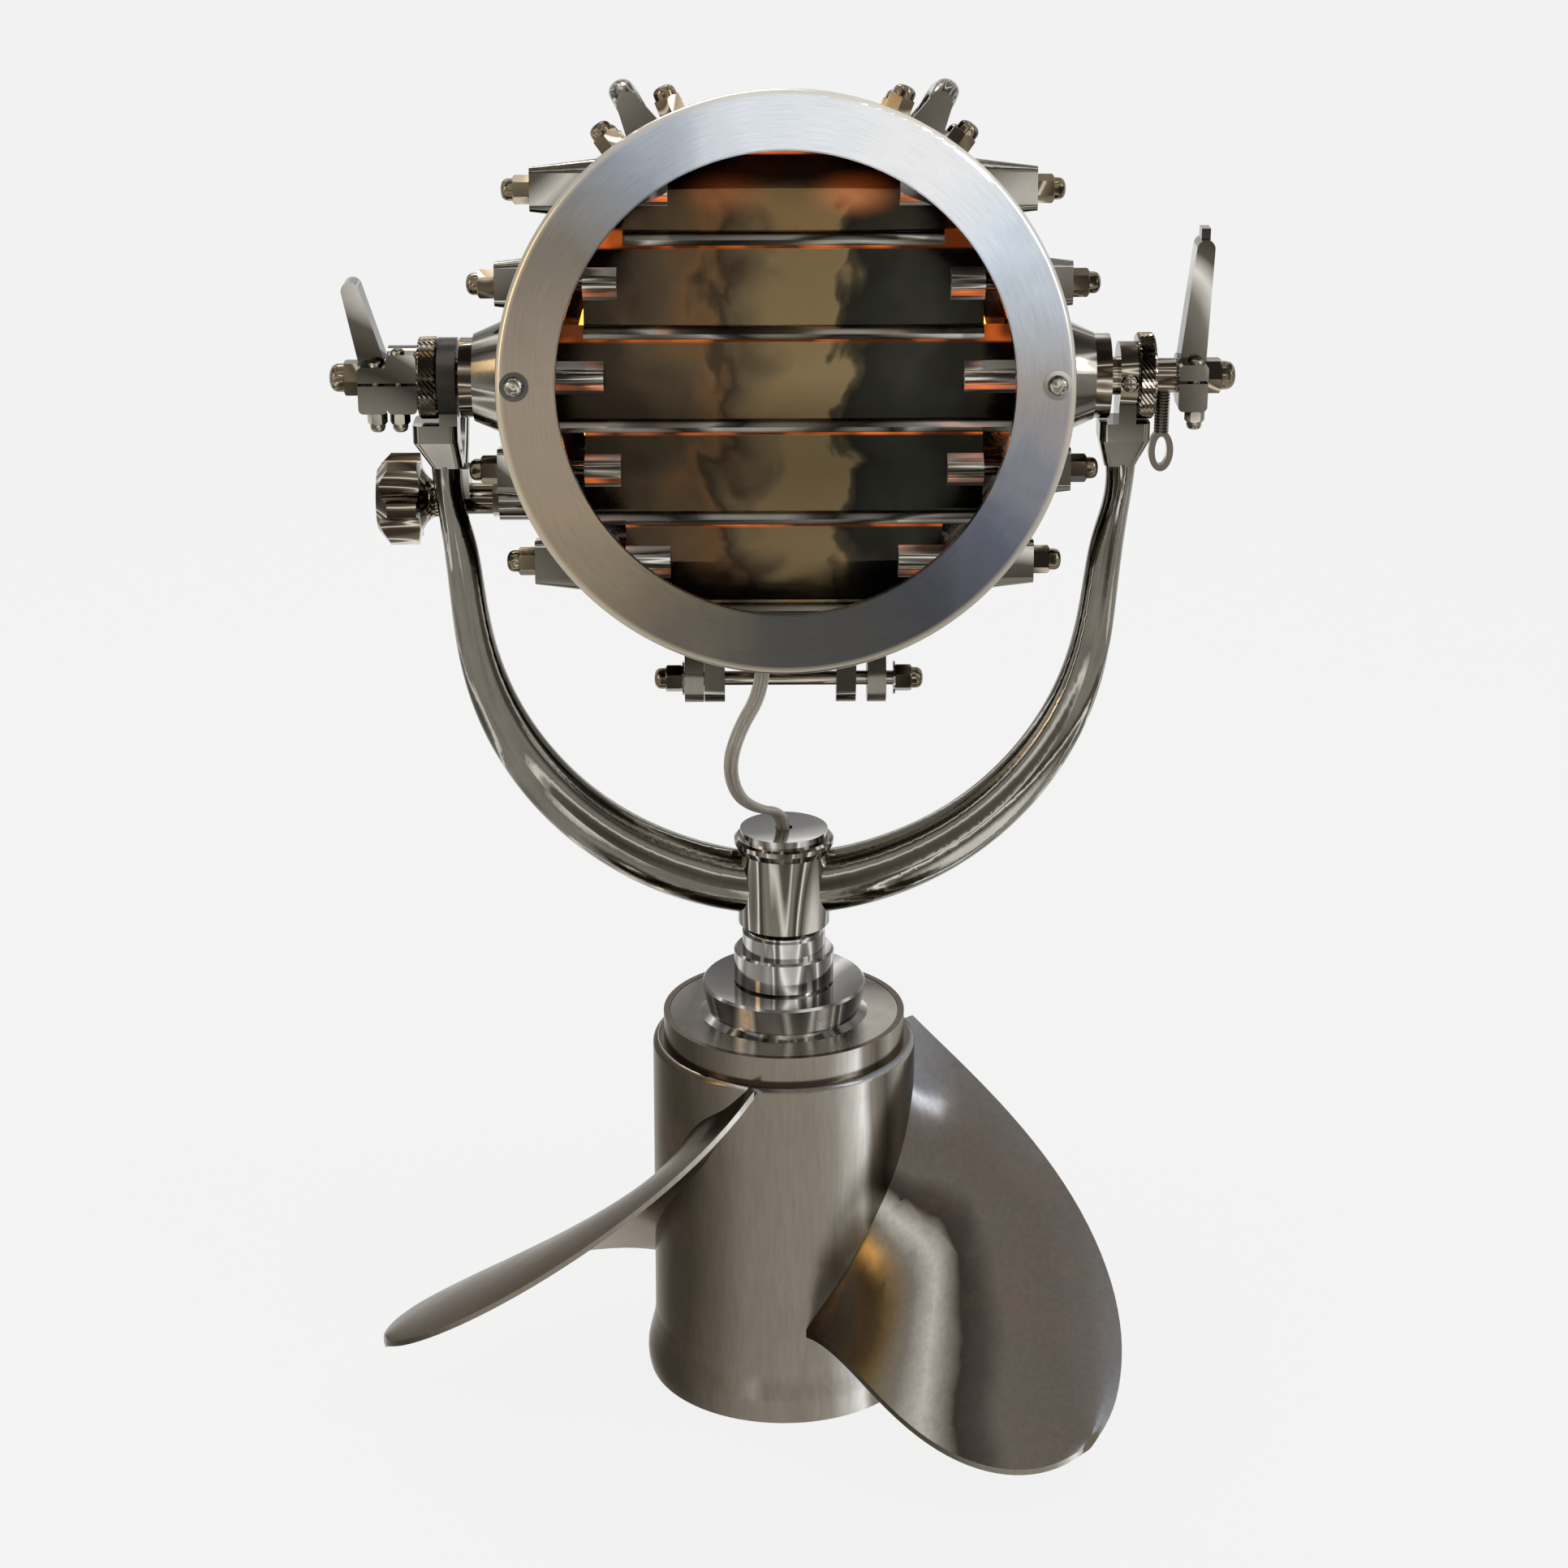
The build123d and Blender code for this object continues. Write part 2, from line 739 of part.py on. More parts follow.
yoke_hub_top = yoke_bottom + yoke_hub_height
with BuildPart() as yoke:
    for step in range(arm_sections):
        sweep_share = step / (arm_sections - 1)
        turn = math.radians(arm_first_angle + (arm_last_angle - arm_first_angle) * sweep_share)
        edge_out = arm_edge(arm_outer_radius, arm_outer_centre, turn)
        edge_in = arm_edge(arm_inner_radius, arm_inner_centre, turn)
        depth = arm_hub_depth + (arm_middle_depth - arm_hub_depth) * sweep_share
        with BuildSketch(arm_plane(edge_out, edge_in)):
            Ellipse((edge_out - edge_in).length / 2, depth / 2)
    edge_out = Vector(arm_middle_outer, 0, arm_middle_height)
    edge_in = Vector(arm_middle_inner, 0, arm_middle_height)
    with BuildSketch(arm_plane(edge_out, edge_in)):
        Ellipse((edge_out - edge_in).length / 2, arm_middle_depth / 2)
    edge_out = Vector(arm_top_outer, 0, arm_top_height)
    edge_in = Vector(arm_top_inner, 0, arm_top_height)
    with BuildSketch(arm_plane(edge_out, edge_in)):
        Ellipse((edge_out - edge_in).length / 2, arm_top_depth / 2)
    loft()
    mirror(about=Plane.YZ)
    with BuildSketch(Plane.XZ):
        with BuildLine():
            Polyline(
                (0, yoke_bottom),
                (yoke_hub_radius - yoke_hub_round, yoke_bottom),
                (yoke_hub_radius, yoke_bottom + yoke_hub_round),
                (yoke_hub_radius, yoke_hub_top - 2 * yoke_hub_round),
                (yoke_hub_shoulder, yoke_hub_top - yoke_hub_round),
                (yoke_hub_shoulder, yoke_hub_top - yoke_hub_edge),
                (yoke_hub_shoulder - yoke_hub_edge, yoke_hub_top),
                (0, yoke_hub_top),
                (0, yoke_bottom),
            )
        make_face()
    revolve(axis=Axis.Z)
    for side, inner, outer, ring_start, ring_end, ring_radius in (
        (1, right_cradle_inner, right_cradle_outer, right_ring_start, right_ring_end, right_ring_radius),
        (-1, left_cradle_inner, left_cradle_outer, left_ring_start, left_ring_end, left_ring_radius),
    ):
        middle = side * (inner + outer) / 2
        with BuildSketch(Plane.XY.offset(cradle_waist)):
            with Locations((middle, 0)):
                RectangleRounded(outer - inner, cradle_depth, cradle_round)
        extrude(amount=cradle_top - cradle_waist)
        with BuildSketch(Plane.XY.offset(cradle_foot)):
            with Locations((side * (arm_top_outer + arm_top_inner) / 2, 0)):
                RectangleRounded(cradle_foot_width, cradle_foot_depth, cradle_round)
        with BuildSketch(Plane.XY.offset(cradle_waist)):
            with Locations((middle, 0)):
                RectangleRounded(outer - inner, cradle_depth, cradle_round)
        loft()
        with BuildSketch(Plane.XY.offset(cradle_top)):
            with Locations((side * (ring_start + ring_end) / 2, 0)):
                Rectangle(ring_end - ring_start, cradle_depth)
        extrude(amount=saddle_rise)
        with BuildSketch(trunnion_plane(ring_start, side)):
            Circle(ring_radius)
        extrude(amount=ring_end - ring_start, mode=Mode.SUBTRACT)
    for ear in quadrant_ears:
        with BuildSketch(Plane.YZ.offset(-quadrant_inner)):
            with Locations((quadrant_ear_behind, tilt_axis_height + ear)):
                Circle(quadrant_ear_radius)
            span(
                arm_top_depth / 4,
                tilt_axis_height + ear - quadrant_ear_radius,
                quadrant_ear_behind,
                tilt_axis_height + ear + quadrant_ear_radius,
            )
        extrude(amount=quadrant_lug_thickness)
    with BuildSketch(Plane.XY.offset(yoke_floor_top)):
        Circle(yoke_cavity_radius)
    extrude(amount=yoke_hub_height, mode=Mode.SUBTRACT)
    with BuildSketch(Plane.XY.offset(yoke_bottom)):
        Circle(tie_radius + running_clearance)
    extrude(amount=yoke_floor, mode=Mode.SUBTRACT)
    with BuildSketch(Plane.YZ.offset(-quadrant_inner)):
        for ear in quadrant_ears:
            with Locations((quadrant_ear_behind, tilt_axis_height + ear)):
                Circle(quadrant_screw_radius)
    extrude(amount=quadrant_lug_thickness, mode=Mode.SUBTRACT)
yoke.part.label = "yoke"
export_step(yoke.part, "parts/yoke.step")

with BuildPart() as yoke_cap:
    with BuildSketch(Plane.XY.offset(yoke_hub_top - cap_spigot)):
        Circle(yoke_cavity_radius - side_gap)
    extrude(amount=cap_spigot)
    with BuildSketch(Plane.XY.offset(yoke_hub_top)):
        Circle(cap_radius)
    extrude(amount=cap_thickness)
    with BuildSketch(Plane.XY.offset(yoke_hub_top - cap_spigot)):
        Circle(cap_hole_radius)
    extrude(amount=cap_spigot + cap_thickness, mode=Mode.SUBTRACT)
yoke_cap.part.label = "yoke_cap"
export_step(yoke_cap.part, "parts/yoke_cap.step")

with BuildPart() as left_bearing_ring:
    with BuildSketch(trunnion_plane(left_ring_start, -1)):
        Circle(left_ring_radius)
        Circle(trunnion_radius + running_clearance, mode=Mode.SUBTRACT)
    extrude(amount=left_ring_end - left_ring_start)
left_bearing_ring.part.label = "left_bearing_ring"
export_step(left_bearing_ring.part, "parts/left_bearing_ring.step")

screw_x = (right_ring_start + right_ring_end) / 2
screw_plane = Plane(
    origin=(screw_x, -right_ring_radius, tilt_axis_height), x_dir=(1, 0, 0), z_dir=(0, -1, 0)
)
with BuildPart() as right_bearing_ring:
    with BuildSketch(trunnion_plane(right_ring_start)):
        Circle(right_ring_radius)
        Circle(trunnion_radius + running_clearance, mode=Mode.SUBTRACT)
    extrude(amount=right_ring_end - right_ring_start)
    with BuildSketch(screw_plane):
        Circle(bearing_screw_shank)
    extrude(amount=-bearing_screw_length, mode=Mode.SUBTRACT)
right_bearing_ring.part.label = "right_bearing_ring"
export_step(right_bearing_ring.part, "parts/right_bearing_ring.step")


def round_head(radius, rise, shank, length, slotted=False):
    """Round-head screw that sits on XY with its shank below."""
    with BuildPart() as screw:
        with BuildSketch(Plane.XZ):
            with BuildLine():
                Line((0, 0), (radius, 0))
                Spline((radius, 0), (0, rise), tangents=[(0, 1), (-1, 0)])
                Line((0, rise), (0, 0))
            make_face()
        revolve(axis=Axis.Z)
        with BuildSketch():
            Circle(shank)
        extrude(amount=-length)
        if slotted:
            with BuildSketch(Plane.XY.offset(rise)):
                Rectangle(2 * radius, screw_slot_width)
            extrude(amount=-screw_slot_depth, mode=Mode.SUBTRACT)
    return screw.part


with BuildPart() as bearing_screw:
    with Locations(screw_plane):
        add(
            round_head(
                bearing_screw_head, bearing_screw_rise, bearing_screw_shank, bearing_screw_length, True
            )
        )
bearing_screw.part.label = "bearing_screw"
export_step(bearing_screw.part, "parts/bearing_screw.step")

# Slotted quadrant that the tilt clamp grips, bolted to two ears behind the left arm
clamp_reach = math.hypot(clamp_behind, clamp_below)
clamp_angle = math.degrees(math.atan2(clamp_behind, clamp_below))
slot_half_width = clamp_stem_radius + quadrant_slot_clearance
with BuildPart() as tilt_quadrant:
    with BuildSketch(Plane.YZ.offset(-quadrant_outer)):
        with BuildLine(mode=Mode.PRIVATE) as slot_path:
            CenterArc(
                (0, tilt_axis_height), clamp_reach, clamp_angle - tilt_up - 90, tilt_up + tilt_down
            )
        SlotArc(slot_path.edges()[0], 2 * (slot_half_width + quadrant_rim))
        span(
            quadrant_arm_gap,
            tilt_axis_height + quadrant_ears[1] - quadrant_ear_radius,
            quadrant_ear_behind + quadrant_ear_radius,
            tilt_axis_height + quadrant_ears[0] + quadrant_ear_radius,
        )
        span(-clamp_reach, 0, quadrant_arm_gap, tilt_axis_height, mode=Mode.SUBTRACT)
        SlotArc(slot_path.edges()[0], 2 * slot_half_width, mode=Mode.SUBTRACT)
        for ear in quadrant_ears:
            with Locations((quadrant_ear_behind, tilt_axis_height + ear)):
                Circle(quadrant_screw_radius, mode=Mode.SUBTRACT)
    extrude(amount=quadrant_outer - quadrant_inner)
tilt_quadrant.part.label = "tilt_quadrant"
export_step(tilt_quadrant.part, "parts/tilt_quadrant.step")

with BuildPart() as quadrant_screws:
    for ear in quadrant_ears:
        ear_plane = Plane(
            origin=(-quadrant_outer, quadrant_ear_behind, tilt_axis_height + ear),
            x_dir=(0, 0, 1),
            z_dir=(-1, 0, 0),
        )
        with Locations(ear_plane):
            add(
                round_head(
                    quadrant_screw_head,
                    quadrant_screw_rise,
                    quadrant_screw_radius,
                    quadrant_outer - quadrant_inner + quadrant_lug_thickness,
                    True,
                )
            )
quadrant_screws.part.label = "quadrant_screws"
export_step(quadrant_screws.part, "parts/quadrant_screws.step")


# Drum of the head, with its bosses, hinge lugs and clamp boss
def square_boss(across, above):
    """Plane on the flat outer face of a boss, looking into the drum."""
    side = math.copysign(1, across)
    return Plane(origin=head_point(across, above, 0), x_dir=HEAD.y_dir, z_dir=(-side, 0, 0))


shutter_heights = {number: shutter_pitch * (3 - number) for number in range(1, 6)}
pin_places = [
    (side * face, sign * above)
    for above, face in boss_faces.items()
    for side in (1, -1)
    for sign in (1, -1)
]
clamp_plane_origin = (0, clamp_behind, tilt_axis_height - clamp_below)
clamp_above = clamp_behind * math.sin(tilt_rad) - clamp_below * math.cos(tilt_rad)
gland_plane = Plane(
    origin=head_point(gland_across, -drum_radius, gland_forward), x_dir=(1, 0, 0), z_dir=-HEAD.y_dir
)


def handle_nut_planes():
    """Planes on the handle feet where the dome nuts sit, facing outwards."""
    planes = []
    for handle_angle in handle_angles:
        for forward in (handle_front, handle_rear):
            for side in (1, -1):
                turn = math.radians(handle_angle + side * handle_nut_angle)
                reach = drum_radius + handle_foot_rise
                out = HEAD.x_dir * math.cos(turn) + HEAD.y_dir * math.sin(turn)
                at = head_point(reach * math.cos(turn), reach * math.sin(turn), forward)
                planes.append(Plane(origin=at, x_dir=HEAD.z_dir, z_dir=out))
    return planes


with BuildPart() as drum:
    with BuildSketch(HEAD_SECTION):
        span(0, -drum_rear, drum_radius, drum_front)
    revolve(axis=head_axis)
    for across, above in pin_places:
        with BuildSketch(square_boss(across, above)):
            RectangleRounded(boss_side, boss_side, boss_corner)
        extrude(amount=boss_lengths[abs(above)], taper=-boss_taper)
    for side in (1, -1):
        with BuildSketch(TRUNNION):
            with BuildLine():
                Polyline(
                    (side * (trunnion_boss_face - trunnion_boss_depth), 0),
                    (side * (trunnion_boss_face - trunnion_boss_depth), trunnion_boss_root),
                    (side * trunnion_boss_face, trunnion_boss_radius),
                    (side * trunnion_boss_face, 0),
                    close=True,
                )
            make_face()
        revolve(axis=trunnion_axis)
    for start, end in drum_lugs:
        with BuildSketch(head_side(start)):
            with Locations((drum_rear, -hinge_drop)):
                Circle(hinge_eye_radius)
            span(
                drum_rear - lug_root_depth,
                -drum_radius + lug_root_sink,
                drum_rear - lug_root_sink,
                -drum_radius + lug_root_height,
            )
            make_hull()
        extrude(amount=end - start)
    with BuildSketch(Plane(origin=(-clamp_boss_face, *clamp_plane_origin[1:]), z_dir=(1, 0, 0))):
        Circle(clamp_boss_radius)
    extrude(amount=clamp_boss_face - clamp_boss_neck)
    with BuildSketch(head_side(-clamp_boss_neck - clamp_pad_lap)):
        span(
            drum_rear - 2 * clamp_boss_radius,
            clamp_above - clamp_boss_radius,
            drum_rear - clamp_pad_inset,
            clamp_above + clamp_boss_radius,
        )
    extrude(amount=clamp_boss_neck + clamp_pad_lap - clamp_boss_root)
    with BuildSketch(HEAD_SECTION):
        span(0, -drum_rear, drum_radius - drum_wall, drum_front)
    revolve(axis=head_axis, mode=Mode.SUBTRACT)
    with BuildSketch(HEAD_SECTION):
        inner_radius = drum_radius - drum_wall
        span(inner_radius - seat_width, seat_front - seat_thickness, inner_radius + 1, seat_front)
    revolve(axis=head_axis)
    for across, above in pin_places:
        with BuildSketch(square_boss(across, above)):
            Circle(pivot_radius)
        extrude(amount=boss_lengths[abs(above)], mode=Mode.SUBTRACT)
    with BuildSketch(Plane.YZ):
        with Locations((0, tilt_axis_height)):
            Circle(trunnion_radius)
    extrude(amount=trunnion_boss_face, both=True, mode=Mode.SUBTRACT)
    with BuildSketch(Plane(origin=(-clamp_boss_face, *clamp_plane_origin[1:]), z_dir=(1, 0, 0))):
        Circle(clamp_stem_radius)
    extrude(amount=clamp_boss_face - clamp_boss_neck, mode=Mode.SUBTRACT)
    with BuildSketch(head_side(-hinge_right_end)):
        with Locations((drum_rear, -hinge_drop)):
            Circle(hinge_rod_radius)
    extrude(amount=2 * hinge_right_end, mode=Mode.SUBTRACT)
    with BuildSketch(gland_plane):
        Circle(gland_radius)
    extrude(amount=-2 * drum_wall, mode=Mode.SUBTRACT)
    with BuildSketch(HEAD.offset(drum_front)):
        with Locations((bezel_screw_circle, 0), (-bezel_screw_circle, 0)):
            Circle(bezel_screw_shank)
    extrude(amount=-bezel_screw_length, mode=Mode.SUBTRACT)
    for nut_plane in handle_nut_planes():
        with BuildSketch(nut_plane):
            Circle(pivot_radius)
        extrude(amount=-2 * drum_wall, mode=Mode.SUBTRACT)
drum.part.label = "drum"
export_step(drum.part, "parts/drum.step")

with BuildPart() as bezel:
    with BuildSketch(HEAD_SECTION):
        with BuildLine():
            Polyline(
                (bezel_bore, drum_front),
                (bezel_bore, bezel_front - 0.6),
                (bezel_bore + 0.6, bezel_front),
                (bezel_radius - bezel_round, bezel_front),
            )
            RadiusArc(
                (bezel_radius - bezel_round, bezel_front),
                (bezel_radius, bezel_front - bezel_round),
                bezel_round,
            )
            Polyline(
                (bezel_radius, bezel_front - bezel_round),
                (bezel_radius, drum_front - bezel_skirt),
                (bezel_radius - bezel_skirt_wall, drum_front - bezel_skirt),
                (bezel_radius - bezel_skirt_wall, drum_front),
                (bezel_bore, drum_front),
            )
        make_face()
    revolve(axis=head_axis)
    with BuildSketch(HEAD.offset(bezel_front)):
        with Locations((bezel_screw_circle, 0), (-bezel_screw_circle, 0)):
            Circle(bezel_screw_shank)
    extrude(amount=-bezel_front, mode=Mode.SUBTRACT)
bezel.part.label = "bezel"
export_step(bezel.part, "parts/bezel.step")

with BuildPart() as bezel_washers:
    with BuildSketch(HEAD.offset(bezel_front)):
        with Locations((bezel_screw_circle, 0), (-bezel_screw_circle, 0)):
            Circle(bezel_washer_radius)
            Circle(bezel_screw_shank, mode=Mode.SUBTRACT)
    extrude(amount=bezel_washer_thickness)
bezel_washers.part.label = "bezel_washers"
export_step(bezel_washers.part, "parts/bezel_washers.step")

washer_face = bezel_front + bezel_washer_thickness
screw_reach = washer_face - drum_front + bezel_screw_length - 1
with BuildPart() as bezel_screws:
    for side in (1, -1):
        with Locations(
            Plane(
                origin=head_point(side * bezel_screw_circle, 0, washer_face),
                x_dir=(1, 0, 0),
                z_dir=HEAD.z_dir,
            )
        ):
            add(round_head(bezel_screw_head, bezel_screw_rise, bezel_screw_shank, screw_reach))
bezel_screws.part.label = "bezel_screws"
export_step(bezel_screws.part, "parts/bezel_screws.step")

with BuildPart() as front_glass:
    with BuildSketch(HEAD.offset(seat_front)):
        Circle(drum_radius - drum_wall - glass_gap)
    extrude(amount=glass_thickness)
front_glass.part.label = "front_glass"
export_step(front_glass.part, "parts/front_glass.step")

with BuildPart() as glass_gasket:
    with BuildSketch(HEAD.offset(seat_front + glass_thickness)):
        Circle(drum_radius - drum_wall - glass_gap)
        Circle(drum_radius - drum_wall - glass_gap - gasket_width, mode=Mode.SUBTRACT)
    extrude(amount=drum_front - seat_front - glass_thickness)
glass_gasket.part.label = "glass_gasket"
export_step(glass_gasket.part, "parts/glass_gasket.step")

# Trunnions: hollow stub shafts that carry the head in the bearing rings
with BuildPart() as left_trunnion:
    with BuildSketch(trunnion_plane(trunnion_root, -1)):
        Circle(trunnion_radius)
    extrude(amount=left_knurl_end - trunnion_root)
    with BuildSketch(trunnion_plane(trunnion_boss_face, -1)):
        Circle(left_collar_radius)
    extrude(amount=left_collar_end - trunnion_boss_face)
    with BuildSketch(trunnion_plane(trunnion_root, -1)):
        Circle(shaft_radius + running_clearance)
    extrude(amount=left_knurl_end - trunnion_root, mode=Mode.SUBTRACT)
left_trunnion.part.label = "left_trunnion"
export_step(left_trunnion.part, "parts/left_trunnion.step")

lock_screw_plane = Plane(
    origin=(lock_screw_x, 0, tilt_axis_height - shaft_radius - side_gap),
    x_dir=(1, 0, 0),
    z_dir=(0, 0, -1),
)
with BuildPart() as right_trunnion:
    with BuildSketch(trunnion_plane(trunnion_root)):
        Circle(trunnion_radius)
    extrude(amount=right_knurl_end - trunnion_root)
    with BuildSketch(trunnion_plane(right_knurl_end)):
        Circle(trunnion_tip_radius)
    extrude(amount=right_trunnion_end - right_knurl_end)
    with BuildSketch(trunnion_plane(trunnion_boss_face)):
        Circle(right_collar_radius)
    extrude(amount=right_collar_end - trunnion_boss_face)
    with BuildSketch(trunnion_plane(trunnion_root)):
        Circle(shaft_radius + running_clearance)
    extrude(amount=right_trunnion_end - trunnion_root, mode=Mode.SUBTRACT)
    with BuildSketch(lock_screw_plane):
        Circle(lock_screw_radius + running_clearance)
    extrude(amount=trunnion_radius, mode=Mode.SUBTRACT)
right_trunnion.part.label = "right_trunnion"
export_step(right_trunnion.part, "parts/right_trunnion.step")


def knurled_ring_section(start, end, outer, side):
    """Outline of a knurled ring on the trunnion axis, with chamfered rims."""
    low, high = sorted((side * start, side * end))
    inner = trunnion_radius + running_clearance
    return [
        (low, inner),
        (low, outer - knurl_chamfer),
        (low + knurl_chamfer, outer),
        (high - knurl_chamfer, outer),
        (high, outer - knurl_chamfer),
        (high, inner),
    ]


with BuildPart() as left_knurled_ring:
    with BuildSketch(TRUNNION):
        with BuildLine():
            Polyline(
                *knurled_ring_section(left_ring_end + side_gap, left_knurl_end, left_knurl_radius, -1),
                close=True,
            )
        make_face()
    revolve(axis=trunnion_axis)
left_knurled_ring.part.label = "left_knurled_ring"
export_step(left_knurled_ring.part, "parts/left_knurled_ring.step")

with BuildPart() as right_knurled_ring:
    with BuildSketch(TRUNNION):
        with BuildLine():
            Polyline(
                *knurled_ring_section(right_ring_end + side_gap, right_knurl_end, right_knurl_radius, 1),
                close=True,
            )
        make_face()
    revolve(axis=trunnion_axis)
right_knurled_ring.part.label = "right_knurled_ring"
export_step(right_knurled_ring.part, "parts/right_knurled_ring.step")

# Lock screw with an eye, which holds the shutters where they are set
lock_eye_below = tilt_axis_height - shaft_radius - side_gap - lock_screw_length
with BuildPart() as lock_screw:
    with BuildSketch(lock_screw_plane):
        Circle(lock_screw_radius)
    extrude(amount=lock_screw_length)
    with BuildSketch(Plane.XZ):
        with Locations((lock_screw_x, lock_eye_below - lock_eye_height / 2 + lock_eye_lap)):
            Ellipse(lock_eye_width / 2, lock_eye_height / 2)
            Ellipse(
                lock_eye_width / 2 - lock_eye_rim, lock_eye_height / 2 - lock_eye_rim, mode=Mode.SUBTRACT
            )
    extrude(amount=lock_eye_thickness / 2, both=True)
lock_screw.part.label = "lock_screw"
export_step(lock_screw.part, "parts/lock_screw.step")

# Two lifting handles over the top of the drum
with BuildPart() as handles:
    for handle_angle in handle_angles:
        turn = math.radians(handle_angle)
        outwards = HEAD.x_dir * math.cos(turn) + HEAD.y_dir * math.sin(turn)
        handle_plane = Plane(
            origin=HEAD.origin, x_dir=outwards, z_dir=outwards.cross(HEAD.z_dir)
        )
        crest = drum_radius + handle_rise - handle_depth / 2
        with BuildLine(handle_plane):
            handle_line = FilletPolyline(
                (drum_radius, handle_front),
                (crest, handle_front - handle_lean),
                (crest, handle_rear + handle_lean),
                (drum_radius, handle_rear),
                radius=handle_bend,
            )
        with BuildSketch(Plane(origin=handle_line @ 0, x_dir=handle_plane.z_dir, z_dir=handle_line % 0)):
            Ellipse(handle_width / 2, handle_depth / 2)
        sweep(path=handle_line)
        for forward in (handle_front, handle_rear):
            foot_plane = Plane(
                origin=head_point(0, 0, forward - handle_foot_length / 2),
                x_dir=outwards,
                z_dir=HEAD.z_dir,
            )
            with BuildSketch(foot_plane):
                Circle(drum_radius + handle_foot_rise)
                with Locations((drum_radius, 0)):
                    Rectangle(drum_radius, handle_foot_width, mode=Mode.INTERSECT)
            extrude(amount=handle_foot_length)
            with BuildSketch(foot_plane.offset((handle_foot_length - handle_depth) / 2)):
                with Locations((drum_radius + handle_foot_crest, 0)):
                    Circle(handle_foot_round)
                span(drum_radius, -handle_foot_root, drum_radius + handle_foot_rise, handle_foot_root)
                make_hull()
            extrude(amount=handle_depth)
    with BuildSketch(HEAD_SECTION):
        span(0, -drum_rear, drum_radius, drum_front)
    revolve(axis=head_axis, mode=Mode.SUBTRACT)
    for nut_plane in handle_nut_planes():
        with BuildSketch(nut_plane):
            Circle(pivot_radius)
        extrude(amount=-handle_foot_rise - 1, mode=Mode.SUBTRACT)
handles.part.label = "handles"
export_step(handles.part, "parts/handles.step")

dome = dome_nut(nut_flats, nut_hex, nut_length, pivot_radius)
with BuildPart() as studded_nut:
    add(dome)
    with BuildSketch(Plane.XY.offset(-handle_foot_rise - drum_wall)):
        Circle(pivot_radius)
    extrude(amount=handle_foot_rise + drum_wall + nut_hex)
with BuildPart() as handle_nuts:
    with Locations(*handle_nut_planes()):
        add(studded_nut.part)
handle_nuts.part.label = "handle_nuts"
export_step(handle_nuts.part, "parts/handle_nuts.step")


# Pivot pins of the four outer shutters, and their dome nuts
def outward_plane(across, above):
    """Plane on a boss face, looking away from the drum."""
    side = math.copysign(1, across)
    return Plane(origin=head_point(across, above, 0), x_dir=HEAD.y_dir, z_dir=(side, 0, 0))


half_length_at = {abs(shutter_heights[n]): shutter_half_lengths[n] for n in shutter_heights}
with BuildPart() as pivot_pins:
    for across, above in pin_places:
        pin_tip = half_length_at[abs(above)] - pivot_depth + 1
        with BuildSketch(outward_plane(across, above)):
            Circle(pivot_radius)
        extrude(amount=nut_hex)
        with BuildSketch(outward_plane(across, above)):
            Circle(pivot_radius)
        extrude(amount=pin_tip - abs(across))
pivot_pins.part.label = "pivot_pins"
export_step(pivot_pins.part, "parts/pivot_pins.step")

with BuildPart() as pivot_nuts:
    with Locations(*[outward_plane(across, above) for across, above in pin_places]):
        add(dome)
pivot_nuts.part.label = "pivot_nuts"
export_step(pivot_nuts.part, "parts/pivot_nuts.step")


# Hinge rod under the drum
with BuildPart() as hinge_rod:
    with BuildSketch(head_side(-hinge_left_end - nut_hex)):
        with Locations((drum_rear, -hinge_drop)):
            Circle(hinge_rod_radius)
    extrude(amount=hinge_left_end + hinge_right_end + 2 * nut_hex)
hinge_rod.part.label = "hinge_rod"
export_step(hinge_rod.part, "parts/hinge_rod.step")

hinge_ends = ((-1, hinge_left_end), (1, hinge_right_end))
with BuildPart() as hinge_washers:
    for side, end in hinge_ends:
        with BuildSketch(
            Plane(origin=head_point(side * end, -hinge_drop, -drum_rear), z_dir=(-side, 0, 0))
        ):
            Circle(hinge_washer_radius)
            Circle(hinge_rod_radius, mode=Mode.SUBTRACT)
        extrude(amount=hinge_washer_thickness - side_gap)
hinge_washers.part.label = "hinge_washers"
export_step(hinge_washers.part, "parts/hinge_washers.step")

with BuildPart() as hinge_nuts:
    for side, end in hinge_ends:
        with Locations(
            Plane(origin=head_point(side * end, -hinge_drop, -drum_rear), z_dir=(side, 0, 0))
        ):
            add(dome)
hinge_nuts.part.label = "hinge_nuts"
export_step(hinge_nuts.part, "parts/hinge_nuts.step")

# Gland that the lamp lead comes out of, and the lead itself
with BuildPart() as cord_gland:
    with BuildSketch(gland_plane.offset(-drum_wall)):
        Circle(gland_radius)
    extrude(amount=drum_wall + gland_drop)
    with BuildSketch(gland_plane.offset(gland_seat)):
        Circle(gland_collar)
    extrude(amount=gland_collar_thickness)
    with BuildSketch(gland_plane.offset(-drum_wall)):
        Circle(lead_diameter / 2)
    extrude(amount=drum_wall + gland_drop, mode=Mode.SUBTRACT)
cord_gland.part.label = "cord_gland"
export_step(cord_gland.part, "parts/cord_gland.step")

